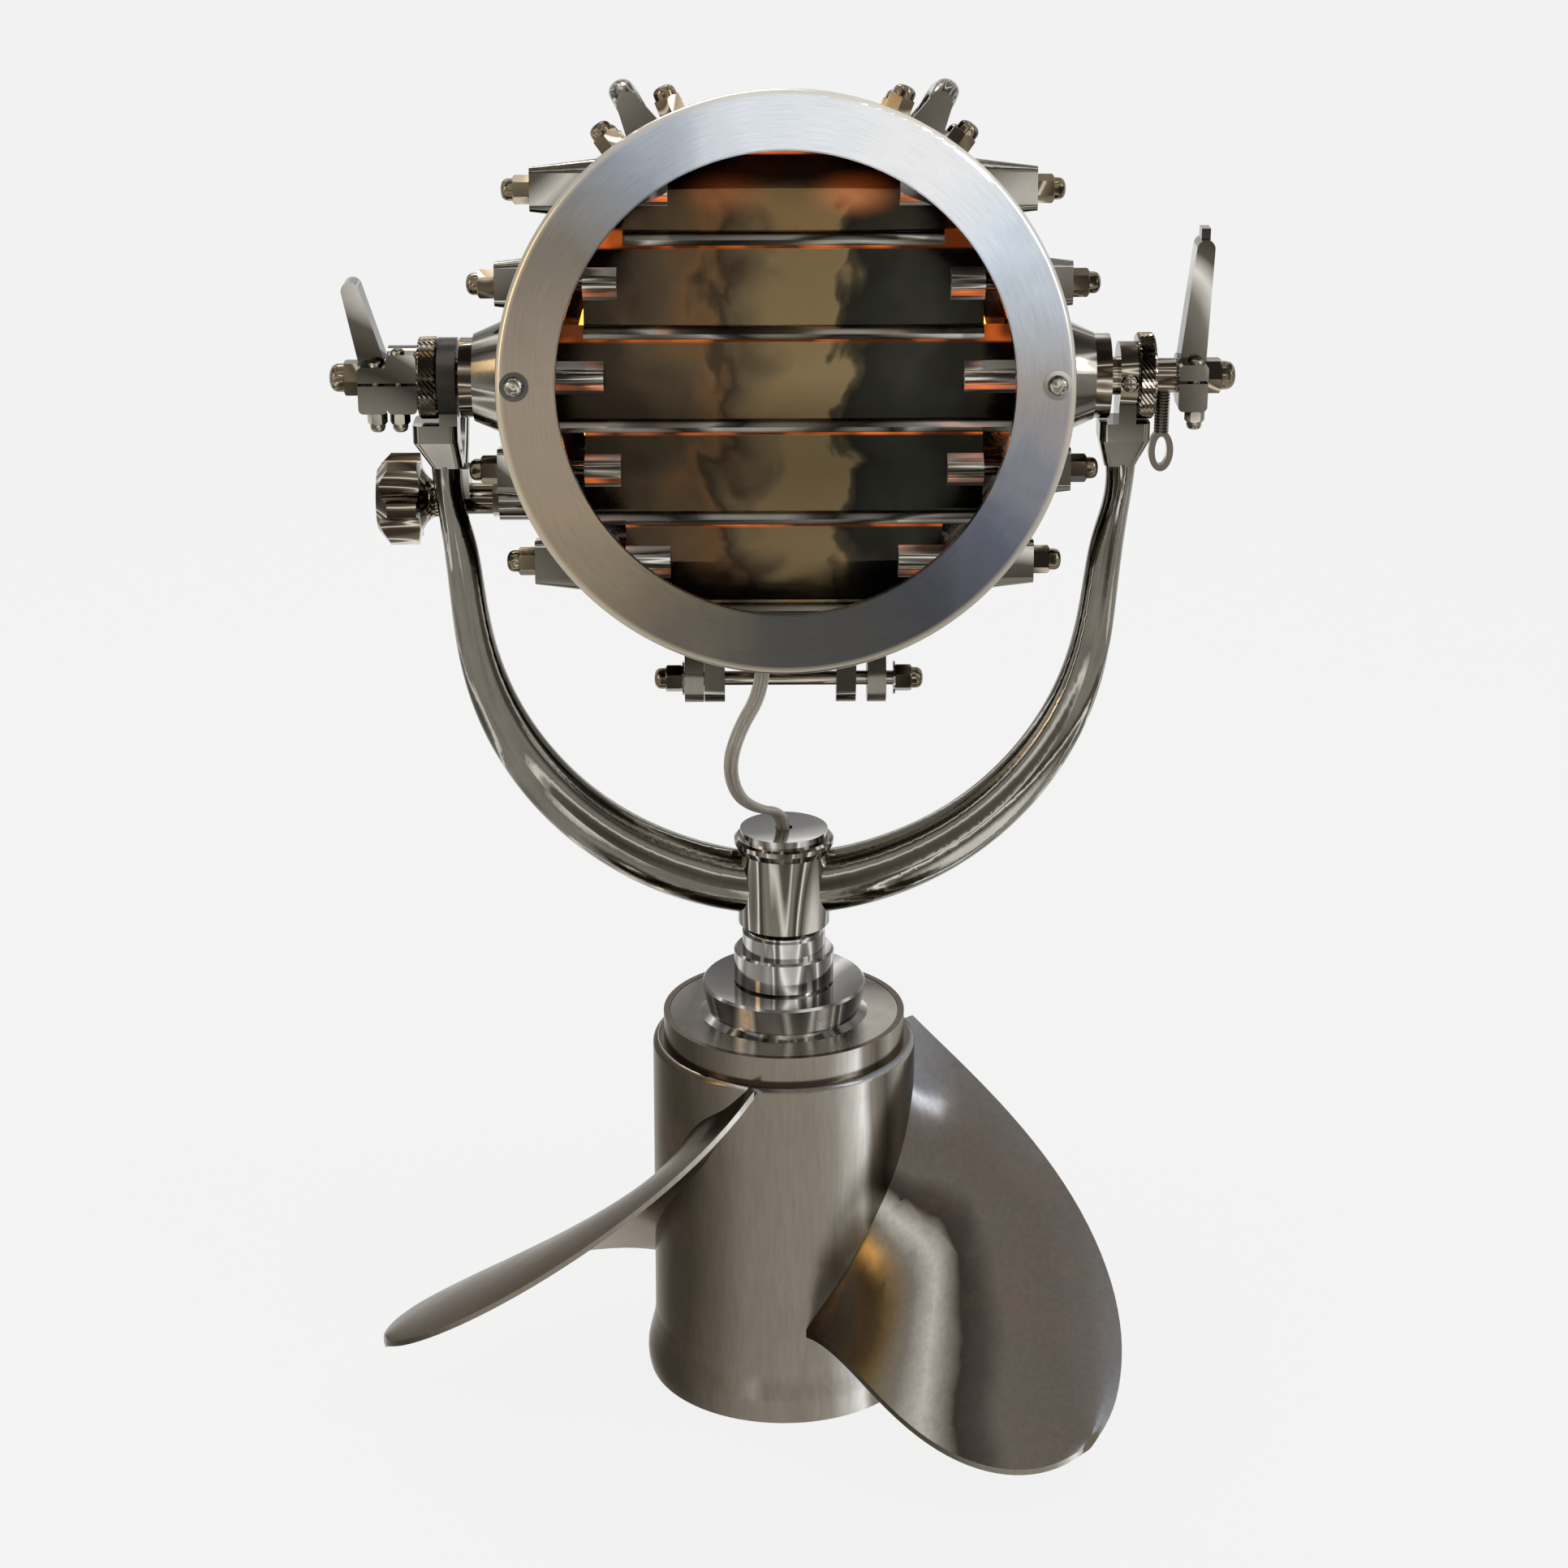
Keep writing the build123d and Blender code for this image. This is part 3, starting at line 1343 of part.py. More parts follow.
lead_start = gland_plane.from_local_coords((0, 0, gland_drop))
lead_points = [lead_start] + [Vector(x, y, yoke_bottom + above) for x, y, above in lead_route]
lead_radii = []
for before, at, after in zip(lead_points, lead_points[1:], lead_points[2:]):
    lead_turn = math.radians((at - before).get_angle(after - at))
    shorter = min((at - before).length, (after - at).length)
    lead_radii.append(lead_arc_share * shorter / math.tan(lead_turn / 2))
print("lead radii", [round(radius, 1) for radius in lead_radii])
with BuildPart() as lamp_lead:
    with BuildLine():
        lead_path = FilletPolyline(*lead_points, radius=lead_radii)
    with BuildSketch(Plane(origin=lead_start, z_dir=lead_points[1] - lead_points[0])):
        Circle(lead_diameter / 2)
    sweep()
lead_share = lamp_lead.part.volume / (math.pi * lead_diameter**2 / 4 * lead_path.length)
print("lead length", round(lead_path.length, 1), "volume over section times length", round(lead_share, 4))
lamp_lead.part.label = "lamp_lead"
export_step(lamp_lead.part, "parts/lamp_lead.step")


# Shutters: five vanes that turn together about pivots across the drum
def open_shutter_frame(above):
    """Section plane and axis of the drum as a shutter that is fully open meets them."""
    up = HEAD.y_dir.rotate(Axis.X, shutter_open_angle)
    forwards = HEAD.z_dir.rotate(Axis.X, shutter_open_angle)
    centre = head_point(0, above, 0) - up * above
    return Plane(origin=centre, x_dir=up, z_dir=(1, 0, 0)), Axis(centre, forwards)


for number, above in shutter_heights.items():
    half_length = shutter_half_lengths[number]
    inner_end = lug_inner_ends[number]
    pin_bore = shaft_radius if number == 3 else pivot_radius + running_clearance
    open_section, open_axis = open_shutter_frame(above)
    with BuildPart() as shutter:
        with BuildSketch(head_side(-half_length, above)):
            with BuildLine():
                FilletPolyline(
                    (edge_set_back, shutter_above),
                    (0, shutter_bend_above),
                    (-shutter_crown, 0),
                    (-shutter_crown, -shutter_bend_below),
                    (-shutter_crown - lip_reach, -shutter_below),
                    radius=shutter_bend,
                )
            trace(line_width=shutter_thickness)
        extrude(amount=2 * half_length)
        for side in (1, -1):
            with BuildSketch(head_side(side * inner_end, above)):
                with Locations((lug_nose - lug_proud, 0)):
                    Circle(lug_nose)
                span(-lug_shoulder, -lug_height / 2, lug_back, lug_height / 2)
                make_hull()
            extrude(amount=side * (half_length - inner_end))
        with BuildSketch(HEAD_SECTION):
            span(0, -drum_front, shutter_trim_radius, drum_front)
        revolve(axis=head_axis, mode=Mode.INTERSECT)
        with BuildSketch(open_section):
            span(0, -drum_front, shutter_trim_radius, drum_front)
        revolve(axis=open_axis, mode=Mode.INTERSECT)
        with BuildSketch(head_side(-crank_offset, above)):
            with Locations((crank_behind, crank_above)):
                Circle(crank_eye)
            span(0, crank_root, 1, shutter_bend_above)
            make_hull()
        extrude(amount=-crank_width)
        with BuildSketch(head_side(-crank_offset, above)):
            with Locations((crank_behind, crank_above)):
                Circle(crank_pin)
        extrude(amount=crank_offset + crank_pin_end)
        for side in (1, -1):
            with BuildSketch(head_side(side * (half_length - pivot_depth), above)):
                Circle(pin_bore)
            extrude(amount=side * pivot_depth, mode=Mode.SUBTRACT)
    shutter.part.label = f"shutter_{number}"
    export_step(shutter.part, f"parts/shutter_{number}.step")

with BuildPart() as link_bar:
    with BuildSketch(head_side(-link_width / 2)):
        with Locations((crank_behind, crank_above)):
            Rectangle(link_depth, 4 * shutter_pitch)
        for number, above in shutter_heights.items():
            hole_gap = running_clearance if number == 3 else open_pin_clearance
            with Locations((crank_behind, above + crank_above)):
                Circle(crank_eye)
                Circle(crank_pin + hole_gap, mode=Mode.SUBTRACT)
    extrude(amount=link_width)
link_bar.part.label = "link_bar"
export_step(link_bar.part, "parts/link_bar.step")

# Cross shafts and levers, which turn with the middle shutter
shaft_inner = shutter_half_lengths[3] - pivot_depth + 1
with BuildPart() as left_shaft:
    with BuildSketch(trunnion_plane(shaft_inner, -1)):
        Circle(shaft_radius)
    extrude(amount=left_boss_end + lever_nut_hex - shaft_inner)
left_shaft.part.label = "left_shaft"
export_step(left_shaft.part, "parts/left_shaft.step")

with BuildPart() as right_shaft:
    with BuildSketch(trunnion_plane(shaft_inner)):
        Circle(shaft_radius)
    extrude(amount=right_hub_end + lever_nut_hex - shaft_inner)
right_shaft.part.label = "right_shaft"
export_step(right_shaft.part, "parts/right_shaft.step")

pinch_floor = Plane.XY.offset(tilt_axis_height - pinch_lug_drop)
split_floor = Plane.XY.offset(tilt_axis_height - split_width / 2)
with BuildPart() as left_lever:
    with BuildSketch(trunnion_plane(left_knurl_end + side_gap, -1)):
        Circle(left_hub_radius)
    extrude(amount=left_hub_end - left_knurl_end - side_gap)
    with BuildSketch(trunnion_plane(left_hub_end, -1)):
        Circle(left_boss_radius)
    extrude(amount=left_boss_end - left_hub_end)
    with BuildSketch(TRUNNION):
        with Locations((-left_lever_root_x, 0)):
            Circle(lever_root_round)
        with Locations((-left_lever_top_x, left_lever_rise)):
            Circle(lever_top_round)
        make_hull()
    extrude(amount=lever_width / 2, both=True)
    with BuildSketch(TRUNNION):
        with Locations((-(left_hub_end + left_knurl_end + side_gap) / 2, 0)):
            RectangleRounded(
                left_hub_end - left_knurl_end - side_gap, 2 * hub_flat_rise, pinch_lug_round
            )
        with Locations((-(left_boss_end + left_hub_end) / 2, (pinch_lug_rise - pinch_lug_drop) / 2)):
            RectangleRounded(
                left_boss_end - left_hub_end, pinch_lug_drop + pinch_lug_rise, pinch_lug_round
            )
    extrude(amount=pinch_lug_front)
    with BuildSketch(split_floor):
        span(-left_boss_end, -pinch_lug_front, -left_knurl_end - side_gap, 0)
    extrude(amount=split_width, mode=Mode.SUBTRACT)
    with BuildSketch(trunnion_plane(left_knurl_end, -1)):
        Circle(shaft_radius)
    extrude(amount=left_boss_end - left_knurl_end, mode=Mode.SUBTRACT)
    with BuildSketch(pinch_floor):
        with Locations((-left_pinch_x, -pinch_forward), (-hub_pinch_x, -pinch_forward)):
            Circle(pinch_radius)
    extrude(amount=2 * pinch_lug_drop, mode=Mode.SUBTRACT)
left_lever.part.label = "left_lever"
export_step(left_lever.part, "parts/left_lever.step")

with BuildPart() as right_lever:
    with BuildSketch(trunnion_plane(right_hub_start)):
        Circle(right_hub_radius)
    extrude(amount=right_hub_end - right_hub_start)
    with BuildSketch(TRUNNION):
        with Locations((right_lever_root_x, 0)):
            Circle(lever_root_round)
        with Locations((right_lever_top_x, right_lever_rise)):
            Circle(lever_top_round)
        make_hull()
    extrude(amount=lever_width / 2, both=True)
    with BuildSketch(TRUNNION):
        with Locations((right_lever_top_x, right_lever_rise + right_lever_tab / 2)):
            Rectangle(lever_top_round, right_lever_tab + lever_top_round)
    extrude(amount=lever_top_round, both=True)
    with BuildSketch(TRUNNION):
        with Locations(((right_hub_start + right_hub_end) / 2, (pinch_lug_rise - pinch_lug_drop) / 2)):
            RectangleRounded(
                right_hub_end - right_hub_start, pinch_lug_drop + pinch_lug_rise, pinch_lug_round
            )
    extrude(amount=pinch_lug_front)
    with BuildSketch(split_floor):
        span(right_hub_start, -pinch_lug_front, right_hub_end, 0)
    extrude(amount=split_width, mode=Mode.SUBTRACT)
    with BuildSketch(trunnion_plane(right_hub_start)):
        Circle(shaft_radius)
    extrude(amount=right_hub_end - right_hub_start, mode=Mode.SUBTRACT)
    with BuildSketch(pinch_floor):
        with Locations((right_pinch_x, -pinch_forward)):
            Circle(pinch_radius)
    extrude(amount=2 * pinch_lug_drop, mode=Mode.SUBTRACT)
right_lever.part.label = "right_lever"
export_step(right_lever.part, "parts/right_lever.step")

with BuildPart() as lever_nuts:
    with Locations(trunnion_plane(left_boss_end, -1), trunnion_plane(right_hub_end)):
        add(dome_nut(lever_nut_flats, lever_nut_hex, lever_nut_length, shaft_radius))
lever_nuts.part.label = "lever_nuts"
export_step(lever_nuts.part, "parts/lever_nuts.step")

pinch_nut = dome_nut(pinch_nut_flats, pinch_nut_hex, pinch_nut_length, pinch_radius)
pinch_places = (
    (-left_pinch_x, pinch_lug_drop, pinch_lug_rise),
    (-hub_pinch_x, hub_flat_rise, hub_flat_rise),
    (right_pinch_x, pinch_lug_drop, pinch_lug_rise),
)
with BuildPart() as pinch_bolts:
    for across, drop, rise in pinch_places:
        with Locations(
            Plane(origin=(across, -pinch_forward, tilt_axis_height - drop), z_dir=(0, 0, -1))
        ):
            add(pinch_nut)
        with Locations(Plane.XY.offset(tilt_axis_height + rise)):
            with Locations((across, -pinch_forward)):
                add(
                    round_head(
                        pinch_head_radius, pinch_head_rise, pinch_radius, rise + drop + pinch_nut_hex
                    )
                )
pinch_bolts.part.label = "pinch_bolts"
export_step(pinch_bolts.part, "parts/pinch_bolts.step")

# Rear cover, hinged under the drum, with the reflector and the bulb
cover_front = -drum_rear - cover_gap
cover_rim_back = cover_front - cover_rim_depth
reflector_front = cover_front - reflector_seat_depth
reflector_back = reflector_front - reflector_wall


def cover_curve(inset):
    """Bowl of the rear cover from the waist to the back, moved in by the wall."""
    return [
        (cover_waist_radius - inset, cover_rim_back),
        (cover_cheek_radius - inset, -cover_cheek_depth + inset),
        (cover_crown_radius - inset, -cover_crown_depth + inset),
        (cover_back_radius - inset, -cover_back_depth + inset),
    ]


with BuildPart() as rear_cover:
    with BuildSketch(HEAD_SECTION):
        with BuildLine():
            Polyline(
                (0, cover_front),
                (drum_radius, cover_front),
                (drum_radius, cover_rim_back),
                (cover_waist_radius, cover_rim_back),
            )
            Spline(*cover_curve(0), tangents=[(0, -1), (-1, 0)])
            Polyline((cover_back_radius, -cover_back_depth), (0, -cover_back_depth), (0, cover_front))
        make_face()
    revolve(axis=head_axis)
    for start, end in cover_lugs:
        with BuildSketch(head_side(start)):
            with Locations((drum_rear, -hinge_drop)):
                Circle(hinge_eye_radius)
            span(-cover_front + side_gap, -drum_radius, -cover_rim_back + 6, -drum_radius + 13)
            make_hull()
            span(0, -drum_radius - 1, -cover_front, 0, mode=Mode.SUBTRACT)
        extrude(amount=end - start)
    with BuildSketch(HEAD_SECTION):
        with BuildLine():
            Polyline(
                (0, cover_front),
                (cover_waist_radius - cover_wall, cover_front),
                (cover_waist_radius - cover_wall, cover_rim_back),
            )
            Spline(*cover_curve(cover_wall), tangents=[(0, -1), (-1, 0)])
            Polyline(
                (cover_back_radius - cover_wall, -cover_back_depth + cover_wall),
                (0, -cover_back_depth + cover_wall),
                (0, cover_front),
            )
        make_face()
    revolve(axis=head_axis, mode=Mode.SUBTRACT)
    with BuildSketch(HEAD_SECTION):
        span(
            cover_waist_radius - cover_wall - reflector_seat_width,
            reflector_back - cover_wall,
            cover_waist_radius - cover_wall / 2,
            reflector_back,
        )
    revolve(axis=head_axis)
    with BuildSketch(head_side(-hinge_left_end)):
        with Locations((drum_rear, -hinge_drop)):
            Circle(hinge_rod_radius + running_clearance)
    extrude(amount=hinge_left_end + hinge_right_end, mode=Mode.SUBTRACT)
    with BuildSketch(HEAD.offset(-cover_back_depth)):
        with PolarLocations(vent_hole_circle, vent_hole_count):
            Circle(vent_hole_radius)
    extrude(amount=cover_crown_depth - cover_cheek_depth, mode=Mode.SUBTRACT)
rear_cover.part.label = "rear_cover"
export_step(rear_cover.part, "parts/rear_cover.step")

dish = reflector_depth / (reflector_rim**2 - reflector_hole**2)


def reflector_curve(drop):
    """Points of the reflector's parabola from its hole to its rim."""
    steps = [reflector_hole + (reflector_rim - reflector_hole) * i / 6 for i in range(7)]
    return [(r, reflector_front - drop - dish * (reflector_rim**2 - r**2)) for r in steps]


with BuildPart() as reflector:
    reflector_edge = cover_waist_radius - cover_wall - side_gap
    with BuildSketch(HEAD_SECTION):
        with BuildLine():
            Spline(*reflector_curve(0))
            Polyline(
                (reflector_rim, reflector_front),
                (reflector_edge, reflector_front),
                (reflector_edge, reflector_back),
                (reflector_rim, reflector_back),
            )
            Spline(*reflector_curve(reflector_wall))
            Line(reflector_curve(0)[0], reflector_curve(reflector_wall)[0])
        make_face()
    revolve(axis=head_axis)
reflector.part.label = "reflector"
export_step(reflector.part, "parts/reflector.step")

holder_front = -cover_back_depth + cover_wall + holder_length
bulb_cap_back = holder_front - holder_socket
with BuildPart() as lamp_holder:
    with BuildSketch(HEAD.offset(-cover_back_depth + cover_wall)):
        Circle(holder_radius)
    extrude(amount=holder_length)
    with BuildSketch(HEAD.offset(bulb_cap_back)):
        Circle(bulb_cap_radius)
    extrude(amount=holder_socket, mode=Mode.SUBTRACT)
lamp_holder.part.label = "lamp_holder"
export_step(lamp_holder.part, "parts/lamp_holder.step")

with BuildPart() as bulb_cap:
    with BuildSketch(HEAD.offset(bulb_cap_back)):
        Circle(bulb_cap_radius)
    extrude(amount=bulb_cap_length)
bulb_cap.part.label = "bulb_cap"
export_step(bulb_cap.part, "parts/bulb_cap.step")

bulb_centre = -bulb_front - bulb_radius
bulb_base = bulb_cap_back + bulb_cap_length
with BuildPart() as bulb_glass:
    with Locations(HEAD.offset(bulb_centre)):
        Sphere(bulb_radius)
    with BuildSketch(HEAD.offset(bulb_base)):
        Circle(bulb_neck_radius)
    extrude(amount=bulb_centre - bulb_base)
    with Locations(HEAD.offset(bulb_centre)):
        Sphere(bulb_radius - bulb_wall, mode=Mode.SUBTRACT)
    with BuildSketch(HEAD.offset(bulb_base)):
        Circle(bulb_neck_radius - bulb_wall)
    extrude(amount=bulb_centre - bulb_base, mode=Mode.SUBTRACT)
bulb_glass.part.label = "bulb_glass"
export_step(bulb_glass.part, "parts/bulb_glass.step")

vent_cap_front = -cover_back_depth - vent_cap_gap
with BuildPart() as vent_cap:
    with BuildSketch(HEAD_SECTION):
        with BuildLine():
            Polyline(
                (0, -cover_back_depth),
                (vent_stem_radius, -cover_back_depth),
                (vent_stem_radius, vent_cap_front),
                (vent_cap_radius, vent_cap_front),
                (vent_cap_radius, vent_cap_front - vent_cap_edge),
            )
            Spline(
                (vent_cap_radius, vent_cap_front - vent_cap_edge),
                (0, vent_cap_front - vent_cap_rise),
                tangents=[(-1, -1), (-1, 0)],
            )
            Line((0, vent_cap_front - vent_cap_rise), (0, -cover_back_depth))
        make_face()
    revolve(axis=head_axis)
vent_cap.part.label = "vent_cap"
export_step(vent_cap.part, "parts/vent_cap.step")

with BuildPart() as cover_catch:
    catch_rise = drum_radius + soft_gap + catch_thickness
    with BuildSketch(HEAD.offset(-drum_rear)):
        Circle(catch_rise)
        Circle(drum_radius, mode=Mode.SUBTRACT)
        with Locations((0, drum_radius)):
            Rectangle(catch_width, catch_width, mode=Mode.INTERSECT)
    extrude(amount=catch_seat)
    with BuildSketch(HEAD.offset(-drum_rear)):
        Circle(catch_rise)
        Circle(drum_radius + soft_gap, mode=Mode.SUBTRACT)
        with Locations((0, drum_radius)):
            Rectangle(catch_width, catch_width, mode=Mode.INTERSECT)
    extrude(amount=-catch_reach)
cover_catch.part.label = "cover_catch"
export_step(cover_catch.part, "parts/cover_catch.step")

# Tilt clamp: a stud in the drum boss and a star knob outside the quadrant
CLAMP = Plane(origin=clamp_plane_origin, x_dir=(1, 0, 0), z_dir=(0, -1, 0))
clamp_axis = Axis(clamp_plane_origin, (1, 0, 0))


def clamp_plane(across):
    """Plane square to the clamp stud that faces away from the drum."""
    return Plane(origin=(-across, *clamp_plane_origin[1:]), x_dir=(0, 0, 1), z_dir=(-1, 0, 0))


with BuildPart() as clamp_stud:
    with BuildSketch(clamp_plane(clamp_boss_neck)):
        Circle(clamp_stem_radius)
    extrude(amount=knob_neck_start + knob_bore_depth - clamp_boss_neck - 1)
    with BuildSketch(clamp_plane(clamp_boss_face)):
        RegularPolygon(clamp_hex_flats / 2, 6, major_radius=False)
    extrude(amount=clamp_hex_thickness)
    with BuildSketch(clamp_plane(clamp_boss_face + clamp_hex_thickness)):
        Circle(clamp_sleeve_radius)
    extrude(amount=clamp_sleeve_end - clamp_boss_face - clamp_hex_thickness)
clamp_stud.part.label = "clamp_stud"
export_step(clamp_stud.part, "parts/clamp_stud.step")

with BuildPart() as tilt_knob:
    with BuildSketch(CLAMP):
        with BuildLine():
            Polyline(
                (-knob_outer, 0),
                (-knob_outer, knob_face_radius),
                (-knob_outer + knob_bevel, knob_radius),
                (-knob_inner - 1, knob_radius),
                (-knob_inner, knob_face_radius),
            )
            Spline(
                (-knob_inner, knob_face_radius),
                (-knob_flare_start, knob_neck_radius),
                tangents=[(0.6, -1), (1, 0)],
            )
            Polyline(
                (-knob_flare_start, knob_neck_radius),
                (-knob_neck_start, knob_neck_radius),
                (-knob_neck_start, 0),
                (-knob_outer, 0),
            )
        make_face()
    revolve(axis=clamp_axis)
    with BuildSketch(clamp_plane(knob_neck_start)):
        with PolarLocations(knob_radius + knob_valley_radius - knob_valley_depth, knob_lobes):
            Circle(knob_valley_radius)
    extrude(amount=knob_outer - knob_neck_start, mode=Mode.SUBTRACT)
    with BuildSketch(clamp_plane(knob_neck_start)):
        Circle(clamp_stem_radius + running_clearance)
    extrude(amount=knob_bore_depth, mode=Mode.SUBTRACT)
tilt_knob.part.label = "tilt_knob"
export_step(tilt_knob.part, "parts/tilt_knob.step")
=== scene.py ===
# %% [markdown]
# This notebook dresses a signal lamp that stands on a polished boat propeller.
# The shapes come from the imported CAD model, which is the fixed frame of the scene.
# Blender adds what CAD does not carry: metal finishes, knurling, a clear twin lead and light.

# %% Load the frame
import json
import math

import bmesh
import bpy
from mathutils import Matrix, Vector


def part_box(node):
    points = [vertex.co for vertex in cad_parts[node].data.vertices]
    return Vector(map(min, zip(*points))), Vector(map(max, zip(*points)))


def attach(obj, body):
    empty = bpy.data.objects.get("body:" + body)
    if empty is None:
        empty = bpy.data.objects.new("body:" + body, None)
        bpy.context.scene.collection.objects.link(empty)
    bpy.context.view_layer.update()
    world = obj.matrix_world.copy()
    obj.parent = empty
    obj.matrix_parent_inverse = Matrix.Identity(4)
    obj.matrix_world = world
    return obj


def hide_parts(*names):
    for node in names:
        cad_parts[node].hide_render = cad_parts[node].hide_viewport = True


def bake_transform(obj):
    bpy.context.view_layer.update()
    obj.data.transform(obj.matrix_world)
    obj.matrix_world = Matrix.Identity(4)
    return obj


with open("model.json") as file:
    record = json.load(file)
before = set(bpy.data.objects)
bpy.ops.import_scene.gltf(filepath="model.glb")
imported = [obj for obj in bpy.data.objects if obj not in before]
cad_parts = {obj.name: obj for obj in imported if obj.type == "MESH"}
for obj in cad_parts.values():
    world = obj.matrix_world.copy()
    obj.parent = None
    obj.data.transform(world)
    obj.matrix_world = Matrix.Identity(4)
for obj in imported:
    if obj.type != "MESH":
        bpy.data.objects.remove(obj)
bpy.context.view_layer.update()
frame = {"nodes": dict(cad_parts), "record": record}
nodes = frame["nodes"]

# %% [markdown]
# Colours are written as sRGB hex, the way a paint program shows them.
# Cycles works in linear light, so one function turns a hex value into linear numbers.

# %% Colours
def linear(code):
    """Linear colour of an sRGB hex code, with a full alpha."""
    parts = [int(code[i:i + 2], 16) / 255 for i in (0, 2, 4)]
    return [p / 12.92 if p <= 0.04045 else ((p + 0.055) / 1.055) ** 2.4 for p in parts] + [1.0]


print("mid grey in linear light:", round(linear("808080")[0], 3))

# %% [markdown]
# A material is a small network of nodes.
# One helper adds a node with its settings and its links, so each finish below reads as a list of steps.
# A link may come from one output, or from a node, which then stands for its first output in use.
# A colour ramp also takes its stops, as pairs of a place from 0 to 1 and a hex colour.

# %% Node helper
def set_up(tree, node, settings=None, links=None):
    """Settings go to a node's properties or sockets, and links join outputs to its inputs."""
    for name, value in (settings or {}).items():
        if isinstance(name, int) or name in node.inputs:
            node.inputs[name].default_value = value
        else:
            setattr(node, name, value)
    for name, source in (links or {}).items():
        if isinstance(source, bpy.types.Node):
            source = next(output for output in source.outputs if output.enabled)
        tree.links.new(source, node.inputs[name])


def add_node(tree, kind, settings=None, links=None, stops=None):
    """Add a shader node of one kind, set it up and give a colour ramp its stops."""
    node = tree.nodes.new("ShaderNode" + kind)
    set_up(tree, node, settings, links)
    if stops:
        elements = node.color_ramp.elements
        for element, (place, code) in zip((elements[0], elements[-1]), (stops[0], stops[-1])):
            element.position, element.color = place, linear(code)
        for place, code in stops[1:-1]:
            elements.new(place).color = linear(code)
    return node


def new_finish(name):
    """An empty material with a Principled shader; returns the material, its tree and the shader."""
    material = bpy.data.materials.new(name)
    material.use_nodes = True
    print("finish:", name)
    return material, material.node_tree, material.node_tree.nodes["Principled BSDF"]


# %% [markdown]
# The camera repeats the photograph: in front of the lamp and above it, looking down about twenty degrees.
# Its lens and place were solved from the round shapes of the barrel and the bezel.

# %% Camera
LENS_MM = 73.82
SENSOR_MM = 36.0
CAMERA_PLACE = (-0.0163, -1.2673, 0.7416)
LOOK_DOWN = math.radians(20.31)
LOOK_RIGHT = math.radians(0.74)

camera_data = bpy.data.cameras.new("photo_camera")
camera_data.lens = LENS_MM
camera_data.sensor_width = SENSOR_MM
camera_data.dof.use_dof = False
camera = bpy.data.objects.new("photo_camera", camera_data)
bpy.context.scene.collection.objects.link(camera)
camera.location = CAMERA_PLACE
camera.rotation_euler = (math.pi / 2 - LOOK_DOWN, 0.0, -LOOK_RIGHT)
bpy.context.scene.camera = camera
bpy.context.scene.view_settings.view_transform = "Standard"
print("camera in metres:", tuple(camera.location), "lens in mm:", camera_data.lens)

# %% [markdown]
# The photograph has a plain, nearly white ground.
# The floor and the world show that colour to the camera, to reflections and to glass,
# while the light that falls on the lamp stays soft and modest.

# %% World
GROUND = linear("f5f5f5")

world = bpy.data.worlds.new("studio_world")
bpy.context.scene.world = world
world.use_nodes = True
sky = world.node_tree
sky.nodes.clear()
rays = add_node(sky, "LightPath")
seen = add_node(sky, "Math", {"operation": "MAXIMUM"}, {
    0: rays.outputs["Is Camera Ray"], 1: rays.outputs["Is Transmission Ray"]})
falling = add_node(sky, "Background", {"Color": linear("f1efec"), "Strength": 0.62})
shown = add_node(sky, "Background", {"Color": GROUND, "Strength": 1.0})
mirrored = add_node(sky, "Background", {"Color": GROUND, "Strength": 0.92})
unseen = add_node(sky, "MixShader", links={0: rays.outputs["Is Glossy Ray"], 1: falling, 2: mirrored})
whole = add_node(sky, "MixShader", links={0: seen, 1: unseen, 2: shown})
add_node(sky, "OutputWorld", links={"Surface": whole})
print("world nodes:", len(sky.nodes))

# %% [markdown]
# The floor is one large pale sheet, made as a grid of a single face.
# Most of what the camera, mirrors and glass see of it is light of its own, so the ground looks even.
# The small rest is plain paint, which keeps the lamp's soft shadow.

# %% Floor
FLOOR_REACH = 6.0
FLOOR_GLOW = 0.94

floor_mesh = bpy.data.meshes.new("studio_floor")
sheet = bmesh.new()
bmesh.ops.create_grid(sheet, x_segments=1, y_segments=1, size=FLOOR_REACH)
sheet.to_mesh(floor_mesh)
sheet.free()
floor = bpy.data.objects.new("studio_floor", floor_mesh)
bpy.context.scene.collection.objects.link(floor)
floor_paint, tree, shader = new_finish("floor_paint")
set_up(tree, shader, {"Base Color": GROUND, "Roughness": 0.9, "Specular IOR Level": 0.0})
glow = add_node(tree, "Emission", {"Color": GROUND, "Strength": 1.0})
rays = add_node(tree, "LightPath")
bounced = add_node(tree, "Math", {"operation": "MAXIMUM"}, {
    0: rays.outputs["Is Glossy Ray"], 1: rays.outputs["Is Transmission Ray"]})
looked_at = add_node(tree, "Math", {"operation": "MAXIMUM"}, {0: rays.outputs["Is Camera Ray"], 1: bounced})
share = add_node(tree, "Math", {"operation": "MULTIPLY", 1: FLOOR_GLOW}, {0: looked_at})
both = add_node(tree, "MixShader", links={0: share, 1: shader, 2: glow})
set_up(tree, tree.nodes["Material Output"], links={"Surface": both})
floor_mesh.materials.append(floor_paint)
print("floor side in metres:", round(floor.dimensions.x, 2))

# %% [markdown]
# Polished metal shows the lamps as much as it shows its own colour.
# A cool window at the right and a warm lamp at the left give long clean highlights.
# A third soft box hangs above and behind, and lights the upper edges.

